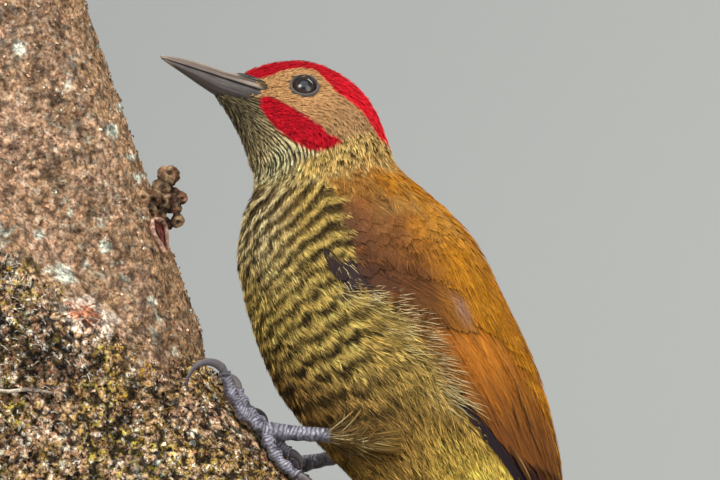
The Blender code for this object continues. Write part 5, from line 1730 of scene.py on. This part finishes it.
def flayed_reach(points):
    """The same for the place where the bark is torn off the front."""
    x, z = side_on(points)
    reach = np.hypot((x + 66.3) / 6.4, (z + 0.25 * (x + 66.3) + 18.4) / 4.0)
    return reach + 0.5 * cloud(points, 1.6, 62) + 2.0 * (points[..., 1] > 0)


def from_footholds(points):
    return np.min([np.linalg.norm(points - hold, axis=-1) for hold in FOOTHOLDS], axis=0)


def bark_relief(points, rough):
    """How far bark stands in or out: plates and cracks, calmer under the feet and tail."""
    big = cloud(points, 17.0, 1)
    plates = 1 - 2 * np.abs(cloud(points * (1, 1, 0.7), 5.5, 2))
    knobs = 1 - 2 * np.abs(cloud(points, 2.6, 4))
    fine = cloud(points, 1.2, 6)
    height = 0.55 * big + rough * (0.85 * plates + 0.42 * knobs + 0.35 * fine) - 0.6 * rough
    return height * (0.3 + 0.7 * rise(from_footholds(points), 9.0, 20.0)) - 0.15


def bark_paint(points, height, mossy):
    """Bark colours: dark cracks with painted shade in them, brown and pink plates, moss and lichen on the
    older bough, and painted shade in the fork.
    """
    tint = over(BARK_BROWN, BARK_PINK, rise(cloud(points, 9.0, 12) + 0.9 * cloud(points, 1.3, 13), -0.5, 0.7))
    tint = over(tint, paint(206, 186, 156), 0.55 * rise(cloud(points, 1.0, 14), 0.1, 0.7))
    # Where the relief sinks, the cracks are darkened: dark bark with painted shade in it.
    cracks_and_shade = rise(-height - 0.35 * cloud(points, 3.0, 15), 0.15, 1.1)
    tint = over(tint, BARK_DARK, (0.6 + 0.3 * mossy) * cracks_and_shade)
    tint = over(tint, BARK_DARK, 0.55 * rise(cloud(points, 1.1, 41), 0.2, 0.7))
    tint = over(tint, MOSS_DARK, 0.45 * mossy)
    clumps = rise(cloud(points, 8.0, 16) + 0.7 * cloud(points, 1.6, 17), 0.0, 0.6)
    tint = over(tint, MOSS, 0.5 * mossy * clumps)
    # Painted shade in the fork between the bough and the limb.
    tint = over(tint, paint(40, 34, 26), 0.8 * mossy * (1 - rise(crotch_shade_reach(points), 0.6, 1.15)))
    flayed = flayed_reach(points)
    tint = over(tint, paint(250, 226, 202), 0.9 * (1 - rise(flayed, 1.0, 1.15)))
    raw = 1 - rise(flayed + 0.4 * cloud(points, 2.5, 63), 0.45, 0.7)
    tint = over(tint, paint(222, 128, 80), 0.85 * raw)
    spots = rise(cloud(points, 4.2, 18) + 0.6 * cloud(points, 1.2, 19), 0.74, 0.92)
    return limb_marks(over(tint, LICHEN, 0.75 * spots), points, mossy)


def limb_marks(tint, points, mossy):
    """What shows on the cleaner limb: a red scar with a black spot of painted shade for its pit, a warm edge
    and spots of lichen.
    """
    x, z = side_on(points)
    clean = 1 - mossy
    inside = np.abs(x + 48.6 + 0.3 * (z - 1.2)) / 2.2 + np.abs(z - 1.2) / 4.2 + 0.15 * cloud(points, 1.0, 44)
    scar = (points[..., 1] < 2.0) * clean
    tint = over(tint, paint(206, 150, 126), 0.9 * (1 - rise(inside, 1.0, 1.25)) * scar)
    tint = over(tint, paint(128, 50, 44), 0.95 * (1 - rise(inside, 0.6, 0.8)) * scar)
    # The pit is a black spot of painted shade; the bark has no hollow there.
    tint = over(tint, paint(24, 18, 16), (1 - rise(np.hypot(x + 47.2, z + 3.4), 0.7, 1.0)) * scar)
    warm = rise(x - np.interp(z, (-40, 0, 60), (-46, -55, -76)), -3, 6)
    tint = over(tint, paint(186, 140, 84), 0.45 * warm * clean)
    ragged = 0.5 * cloud(points, 1.5, 20)
    for spot_x, spot_z, size in LICHEN_SPOTS:
        away = np.hypot(x - spot_x, z - spot_z) / size + ragged
        spot = (1 - rise(away, 0.75, 1.1)) * (points[..., 1] < 0)
        tint = over(tint, paint(246, 250, 226), 0.95 * spot * clean)
    return tint


def moss_amount(points):
    """Moss and dirt gather below a ragged line where the limb grows out of the bough."""
    x, z = side_on(points)
    above = ((x + 90.0) * 37.0 + z * 46.0) / 59.0
    front = 1 - rise(above + 5.0 * cloud(points, 9.0, 33) + 2.5 * cloud(points, 2.4, 34), -3.0, 5.0)
    return np.maximum(front, rise(x, -50.0, -43.0) * rise(-z, 24.0, 34.0))


def bark_mesh(name, rings, rough, mossy, *replaced):
    """A closed barked log from rings of smooth points. The relief and colours are added here."""
    rows, columns = rings.shape[:2]
    along = np.gradient(rings, axis=0)
    around = np.roll(rings, -1, 1) - np.roll(rings, 1, 1)
    normal = unit(np.cross(along, around))
    normal = normal * np.sign((normal * (rings - rings.mean(1, keepdims=True))).sum(-1, keepdims=True))
    moss = moss_amount(rings) * mossy
    height = bark_relief(rings, rough * (0.6 + 0.4 * moss))
    points = rings + normal * height[..., None]
    tint = bark_paint(points, height, moss)
    clumps = moss * rise(cloud(points, 10.0, 16) + 0.5 * cloud(points, 3.0, 17), -0.35, 0.45)
    piece = add_piece(name, points.reshape(-1, 3), [grid_faces(rows, columns, wrap=True)], BARK,
                      {"along": clumps, "across": moss}, {"plume": np.clip(tint, 0, 1).reshape(-1, 3)})
    show(piece, "bark", *replaced)
    return points, normal


def make_sawn():
    """Sawn wood with wavering year rings."""
    made, tree, shader = new_finish("sawn_wood")
    year, wander = attribute(tree, "along"), noise(tree, 60.0, 3.0)
    year = math_node(tree, "ADD", year, math_node(tree, "MULTIPLY", wander, 0.05))
    band = math_node(tree, "SINE", math_node(tree, "MULTIPLY", year, 90.0))
    band, fibre = math_node(tree, "MULTIPLY_ADD", band, 0.5, 0.5), noise(tree, 1500.0, 4.0)
    wood = mixed(tree, band, (0.42, 0.29, 0.17, 1), (0.30, 0.19, 0.10, 1))
    wood = mixed(tree, math_node(tree, "MULTIPLY", fibre, 0.5), wood, (0.52, 0.40, 0.26, 1))
    feed(shader, {"Base Color": wood, "Normal": bump(tree, 0.4, 0.0003, fibre), "Roughness": 0.85})
    return made


SAWN = make_sawn()
SAWN_ROWS = 28


def sawn_end(name, ring):
    """A flat sawn face across the end of a log."""
    middle = ring.mean(0)
    share = np.linspace(1.0, 0.0, SAWN_ROWS)
    points = middle + (ring[None] - middle) * share[:, None, None]
    piece = add_piece(name, points.reshape(-1, 3), [grid_faces(SAWN_ROWS, len(ring), wrap=True)], SAWN,
                      {"along": np.repeat(share, len(ring))})
    show(piece, "bark")


def make_bough():
    """The thick mossy bough, lumpy below and calm along its crest."""
    span = BOUGH_ABOVE + float(np.linalg.norm(BOUGH_LOW - BOUGH_HIGH)) + BOUGH_BELOW
    along, angle = pairs(np.linspace(-BOUGH_ABOVE, span - BOUGH_ABOVE, BOUGH_GRID[0]),
                         full_turn(BOUGH_GRID[1]))
    calm = 0.5 - 0.5 * np.cos(angle)
    lumps = calm * (1.3 * np.sin(along / 17.0 + 2 * angle) + 0.9 * np.sin(along / 9.0 - 3 * angle + 1.0))
    points, normal = bark_mesh("bough_bark", on_bark(along, angle * BOUGH_RADIUS, lumps), 1.1, 1.0,
                               "perch_bough")
    sawn_end("bough_sawn_top", points[0])
    sawn_end("bough_sawn_foot", points[-1])
    return points, normal


def make_limb():
    """The limb behind the bill, thinner where it grows out of the bough."""
    share, angle = pairs(np.linspace(0, 1, LIMB_GRID[0]), full_turn(LIMB_GRID[1]))
    flare = np.interp(share, (0.0, 0.25, 0.5, 1.0), (0.72, 1.04, 1.0, 0.97))
    radius = LIMB_RADIUS * flare + 0.8 * np.sin(5 * share + 3 * angle)
    across = np.array((0.0, 1.0, 0.0))
    outward = (across * (radius * np.sin(angle))[..., None]
               + np.cross(unit(LIMB_TOP - LIMB_FOOT), across) * (radius * np.cos(angle))[..., None])
    rings = BIRD_AT + LIMB_FOOT + (LIMB_TOP - LIMB_FOOT) * share[..., None] + outward
    points, normal = bark_mesh("limb_bark", rings, 0.85, 0.9, "perch_limb")
    sawn_end("limb_sawn_top", points[-1])
    return points, normal


BOUGH_GRID, LIMB_GRID, KNOB_GRID = (270, 300), (200, 230), (30, 44)
bough_points, bough_normal = make_bough()
limb_points, limb_normal = make_limb()


def make_burr():
    """A burr of dented knobs, darkened as painted shade in the seams between them and inside their dents."""
    polar, turn = pairs(np.linspace(0.0, math.pi, KNOB_GRID[0]), full_turn(KNOB_GRID[1]))
    ball = np.stack((np.sin(polar) * np.cos(turn), np.sin(polar) * np.sin(turn), np.cos(polar)), -1)
    centres = [BIRD_AT + np.array((x, LIMB_FOOT[1] + y, z)) for x, y, z, _ in BURR_BUMPS]
    burr = Gathered()
    for number, (x, _, _, radius) in enumerate(BURR_BUMPS):
        centre = centres[number]
        points = centre + ball * radius
        dent = (0.16 * cloud(points, 1.3, 51) + 0.18 * cloud(points, 3.0, 52)
                + 0.08 * cloud(points, 0.6, 53) - 0.10)
        cup = np.linalg.norm(ball - unit(np.array((0.25, -0.9, 0.15 * x % 1.0 - 0.4))), axis=-1)
        dent = dent - 0.42 * (1 - rise(cup, 0.15, 0.42))
        knob = (centre + ball * (radius * (1 + dent))[..., None]).reshape(-1, 3)
        gap = np.min([np.linalg.norm(knob - other, axis=-1) - BURR_BUMPS[k][3]
                      for k, other in enumerate(centres) if k != number], axis=0)
        # Painted shade where the knobs meet and inside their dents.
        seam = np.maximum(1 - rise(gap, 0.1, 1.3), (1 - rise(cup, 0.2, 0.5)).ravel())
        burr.add([grid_faces(*KNOB_GRID, wrap=True)], knob, seam)
    points, seam = burr.joined()
    tint = over(paint(216, 178, 132), paint(172, 124, 90), rise(cloud(points, 2.0, 54), -0.3, 0.4))
    tint = over(tint, paint(58, 40, 32), 0.9 * seam)
    none = np.zeros(len(points))
    piece = add_piece("burr_bark", points, burr.faces, BARK, {"along": none, "across": none - 0.4},
                      {"plume": tint})
    show(piece, "bark", "perch_burr")


make_burr()

# Crumbs of bark, moss leaves and lichen flakes stand up from the surface.
crumb_rng = np.random.default_rng(61)


def scatter_crumbs(name, points, normal, count, size, palette, stand, keep):
    """Small bent flakes, each of five points, scattered where they are kept and off the feet."""
    rows, columns = points.shape[:2]
    i, j = crumb_rng.integers(2, rows - 2, count * 3), crumb_rng.integers(0, columns, count * 3)
    spots, ups = points[i, j], normal[i, j]
    kept = keep(spots) & (from_footholds(spots) > 7.0) & (flayed_reach(spots) > 1.1)
    chosen = np.flatnonzero(kept)[:count]
    spots, ups = spots[chosen] + crumb_rng.normal(0, 0.25, (len(chosen), 3)), ups[chosen]
    count = len(spots)
    side = unit(np.cross(ups, crumb_rng.normal(0, 1, (count, 3))))
    ahead = np.cross(ups, side)
    long = size * crumb_rng.lognormal(0, 0.4, count)[:, None]
    wide = long * crumb_rng.uniform(0.25, 0.7, count)[:, None]
    lift = long * crumb_rng.uniform(*stand, count)[:, None]
    waist = spots + ahead * long * 0.5
    corners = np.stack((spots - side * wide - ups * 0.2, spots + side * wide - ups * 0.2,
                        waist + side * wide * 0.9 + ups * (lift * 0.6 + 0.12),
                        waist - side * wide * 0.9 + ups * (lift * 0.6 + 0.12),
                        spots + ahead * long + ups * (lift + 0.05)), 1)
    # Neighbours are mostly alike, so that moss, crust and dirt lie in clumps.
    likeness = cloud(spots, 5.5, 71) + 0.6 * cloud(spots, 1.8, 72) + crumb_rng.normal(0, 0.36, count)
    rank = np.argsort(np.argsort(likeness))
    kinds = np.searchsorted(np.cumsum([share for _, share in palette])[:-1], rank / count)
    tint = np.array([colour for colour, _ in palette])[kinds] * crumb_rng.uniform(0.5, 1.35, count)[:, None]
    # Crumbs in the fork are darkened as painted shade.
    tint = tint * (0.18 + 0.82 * rise(crotch_shade_reach(spots), 0.6, 1.2))[:, None]
    base = np.arange(count)[:, None] * 5
    quads, tris = np.array([[0, 1, 2, 3]]) + base, np.array([[3, 2, 4]]) + base
    piece = add_piece(name, corners.reshape(-1, 3), [quads, tris], BARK,
                      {"along": np.zeros(5 * count), "across": np.full(5 * count, 0.55)},
                      {"plume": np.clip(np.repeat(tint, 5, axis=0), 0, 1)}, smooth=False)
    show(piece, "bark")


scatter_crumbs("bough_moss_crumbs", bough_points, bough_normal, 60000, 0.54,
               ((paint(172, 134, 40), 0.11), (MOSS_DARK, 0.14), (paint(30, 24, 20), 0.28),
                (paint(116, 80, 52), 0.24),
                (paint(226, 192, 160), 0.17), (LICHEN, 0.07)),
               (0.15, 0.9), lambda p: moss_amount(p) > 0.4)
scatter_crumbs("limb_bark_flakes", limb_points, limb_normal, 12000, 0.6,
               ((BARK_PINK, 0.38), (paint(190, 166, 136), 0.20), (BARK_BROWN, 0.36), (LICHEN, 0.06)),
               (0.0, 0.3), lambda p: p[:, 1] < 60)

# Twigs, fibres and the rim of the hollow, small pieces caught on the bark.


def limb_front(x, z, out=0.3):
    """A place on the near side of the limb or bough, by its place across and up."""
    close = PERCH_POINTS[np.hypot(PERCH_ACROSS - x, PERCH_UP - z) < 1.2]
    return np.array((BIRD_AT[0] + x, (close[:, 1].min() if len(close) else 0.0) - out, BIRD_AT[2] + z))


PERCH_POINTS = np.concatenate((limb_points.reshape(-1, 3), bough_points.reshape(-1, 3)))
PERCH_ACROSS, PERCH_UP = side_on(PERCH_POINTS)
LITTER_ROWS, LITTER_SIDES = 18, 8
litter = [(((-90.0, -35.6), (-85.0, -36.4), (-80.0, -36.0), (-74.0, -36.8)), 0.5, paint(240, 220, 196)),
          (((-74.4, -11.0), (-73.6, -14.5), (-71.3, -17.8)), 0.2, paint(206, 186, 160)),
          (((-71.0, -18.2), (-67.0, -16.4), (-63.5, -15.2)), 0.18, paint(206, 150, 116)),
          (((-70.0, -20.4), (-66.0, -18.9), (-62.5, -19.8)), 0.2, paint(226, 196, 168)),
          (((-65.4, -22.8), (-64.0, -20.6), (-62.4, -18.0)), 0.26, paint(214, 176, 150)),
          (((-51.4, 5.2), (-51.1, 1.8), (-49.4, -1.0), (-48.2, -3.4)), 0.62, paint(240, 190, 164)),
          (((-51.4, 5.2), (-49.2, 4.8), (-48.2, 2.0), (-47.8, -1.8)), 0.55, paint(232, 178, 152))]
for number in range(140):
    x, z = crumb_rng.uniform(-88, -64), crumb_rng.uniform(-46, -4)
    if number < 40:
        x, z = crumb_rng.uniform(-86, -77), crumb_rng.uniform(-9, -2)
    lean, size = crumb_rng.normal(-0.5, 0.7), crumb_rng.uniform(0.8, 2.4)
    if moss_amount(BIRD_AT + np.array((x, 0.0, z))) > 0.3:
        run, climb = size * math.cos(lean), size * math.sin(lean)
        litter.append((((x, z), (x + run / 2, z + climb / 2 + 0.2), (x + run, z + climb)), 0.13,
                       paint(240, 228, 206)))


def make_litter():
    """Every caught fibre as a thin tube, and the torn flesh inside the scar."""
    caught, steps = Gathered(), np.linspace(0, 1, LITTER_ROWS)
    for places, thick, colour in litter:
        knots = np.array([limb_front(x, z, thick * 0.6 + 0.5) for x, z in places])
        path = between(knots, np.linspace(0, len(knots) - 1, LITTER_ROWS))
        radii = thick * np.interp(steps, (0, 0.2, 0.8, 1), (0.5, 1, 0.9, 0.3))
        points, _ = limb_tube(path, radii, LITTER_SIDES, np.broadcast_to((0.0, -1.0, 0.0), path.shape))
        tint = np.broadcast_to(colour, points.shape)
        faces, tint, points = closed_tube(tint, LITTER_ROWS, LITTER_SIDES, points)
        caught.add(faces, points, tint)
    flesh = [limb_front(x, z, 0.15) for x, z in ((-51.0, 4.6), (-48.8, 4.2), (-49.7, 1.0), (-48.2, -2.6))]
    caught.add([[[0, 1, 2], [2, 1, 3]]], np.array(flesh),
               np.broadcast_to(paint(128, 46, 40), (len(flesh), 3)))
    points, tint = caught.joined()
    none = np.zeros(len(points))
    piece = add_piece("bark_litter", points, caught.faces, BARK, {"along": none, "across": none - 0.2},
                      {"plume": tint})
    show(piece, "bark")


make_litter()


# ---------------------------------------------------------------- stand
# A rounded board of dark varnished wood and two brushed steel rods let into the bough.

def drawn_out(tree, *scale):
    """Places stretched along one way, for grain that runs that way."""
    place = node(tree, "ShaderNodeTexCoord").outputs["Object"]
    return node(tree, "ShaderNodeMapping", {"Vector": place, "Scale": scale}).outputs[0]


def make_board():
    """Dark varnished wood, its grain along the board."""
    made, tree, shader = new_finish("varnished_board")
    figure = noise(tree, 1.5, 6.0, Vector=drawn_out(tree, 6.0, 90.0, 90.0), Roughness=0.65, Distortion=0.6)
    tone = mixed(tree, spread(tree, figure, 0.35, 0.65), (0.055, 0.030, 0.018, 1), (0.115, 0.066, 0.038, 1))
    feed(shader, {"Base Color": tone, "Normal": bump(tree, 0.12, 0.0002, figure), "Roughness": 0.35,
                  "Coat Weight": 0.4, "Coat Roughness": 0.15})
    return made


def make_steel():
    """Steel, brushed round the rod."""
    made, tree, shader = new_finish("brushed_rod")
    brushed = noise(tree, 1.0, 3.0, Vector=drawn_out(tree, 900.0, 900.0, 12.0))
    feed(shader, {"Base Color": mixed(tree, brushed, (0.42, 0.42, 0.43, 1), (0.60, 0.60, 0.61, 1)),
                  "Roughness": spread(tree, brushed, 0.0, 1.0, 0.22, 0.42), "Metallic": 1.0})
    return made


BOARD, STEEL = make_board(), make_steel()
for name, finish in (("stand_base", BOARD), ("stand_rod_1", STEEL), ("stand_rod_2", STEEL)):
    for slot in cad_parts[name].material_slots:
        slot.material = finish


# ---------------------------------------------------------------- studio
# A pale sweep of floor and backdrop, clear from behind so that the bird can be looked at from
# any side, four soft lamps and the camera level with the bird.

def make_pale():
    """Matt pale paint that is clear from its back."""
    made, tree, shader = new_finish("pale_sweep")
    tone = mixed(tree, noise(tree, 3.0, 2.0), (0.36, 0.37, 0.36, 1), (0.39, 0.40, 0.39, 1))
    feed(shader, {"Base Color": tone, "Roughness": 0.9})
    one_sided = node(tree, "ShaderNodeMixShader")
    feed(one_sided, {0: node(tree, "ShaderNodeNewGeometry").outputs["Backfacing"], 1: shader.outputs[0],
                     2: node(tree, "ShaderNodeBsdfTransparent").outputs[0]})
    tree.links.new(one_sided.outputs[0], tree.nodes["Material Output"].inputs["Surface"])
    return made


sweep_bend = [(0.35 + 0.5 * math.sin(a), 0.5 - 0.5 * math.cos(a)) for a in np.linspace(0.1, math.pi / 2, 14)]
sweep_rows = [(-1.4, 0.0), (0.35, 0.0), *sweep_bend, (0.85, 2.2)]
sweep_points = np.array([(x, y, z) for y, z in sweep_rows for x in (-2.2, 2.2)]) / MM
add_piece("studio_sweep", sweep_points, [grid_faces(len(sweep_rows), 2)], make_pale())


def soft_lamp(name, place, target, size, power, colour):
    """A round soft lamp, turned to shine on its target. These sizes are in metres."""
    light = bpy.data.lights.new(name, "AREA")
    light.shape = "DISK"
    light.size = size
    light.energy = power
    light.color = colour
    lamp = bpy.data.objects.new(name, light)
    lamp.location = place
    lamp.rotation_euler = (Vector(target) - Vector(place)).to_track_quat("-Z", "Y").to_euler()
    bpy.context.scene.collection.objects.link(lamp)


soft_lamp("key_lamp", (-0.55, -0.75, 0.95), (0.03, 0.0, 0.22), 0.5, 8.5, (1.0, 0.97, 0.92))
soft_lamp("fill_lamp", (0.75, -0.80, 0.55), (0.03, 0.0, 0.22), 0.9, 6.0, (0.98, 0.98, 1.0))
soft_lamp("sky_lamp", (0.10, -0.70, 1.35), (0.03, 0.0, 0.22), 1.6, 9.0, (0.94, 0.97, 1.0))
soft_lamp("rim_lamp", (0.45, 0.55, 0.75), (0.03, 0.0, 0.24), 0.5, 3.5, (1.0, 0.95, 0.85))
world = bpy.data.worlds.new("studio_air")
world.use_nodes = True
feed(world.node_tree.nodes["Background"], {"Color": (0.80, 0.84, 0.88, 1), "Strength": 0.40})
bpy.context.scene.world = world
bpy.context.scene.view_settings.view_transform = "Standard"

lens = bpy.data.cameras.new("camera")
lens.sensor_width = 36.0
lens.lens = 240.0
camera = bpy.data.objects.new("camera", lens)
camera.location = (0.042, -1.2, 0.220)
camera.rotation_euler = (math.radians(90.0), 0.0, 0.0)
bpy.context.scene.collection.objects.link(camera)
bpy.context.scene.camera = camera
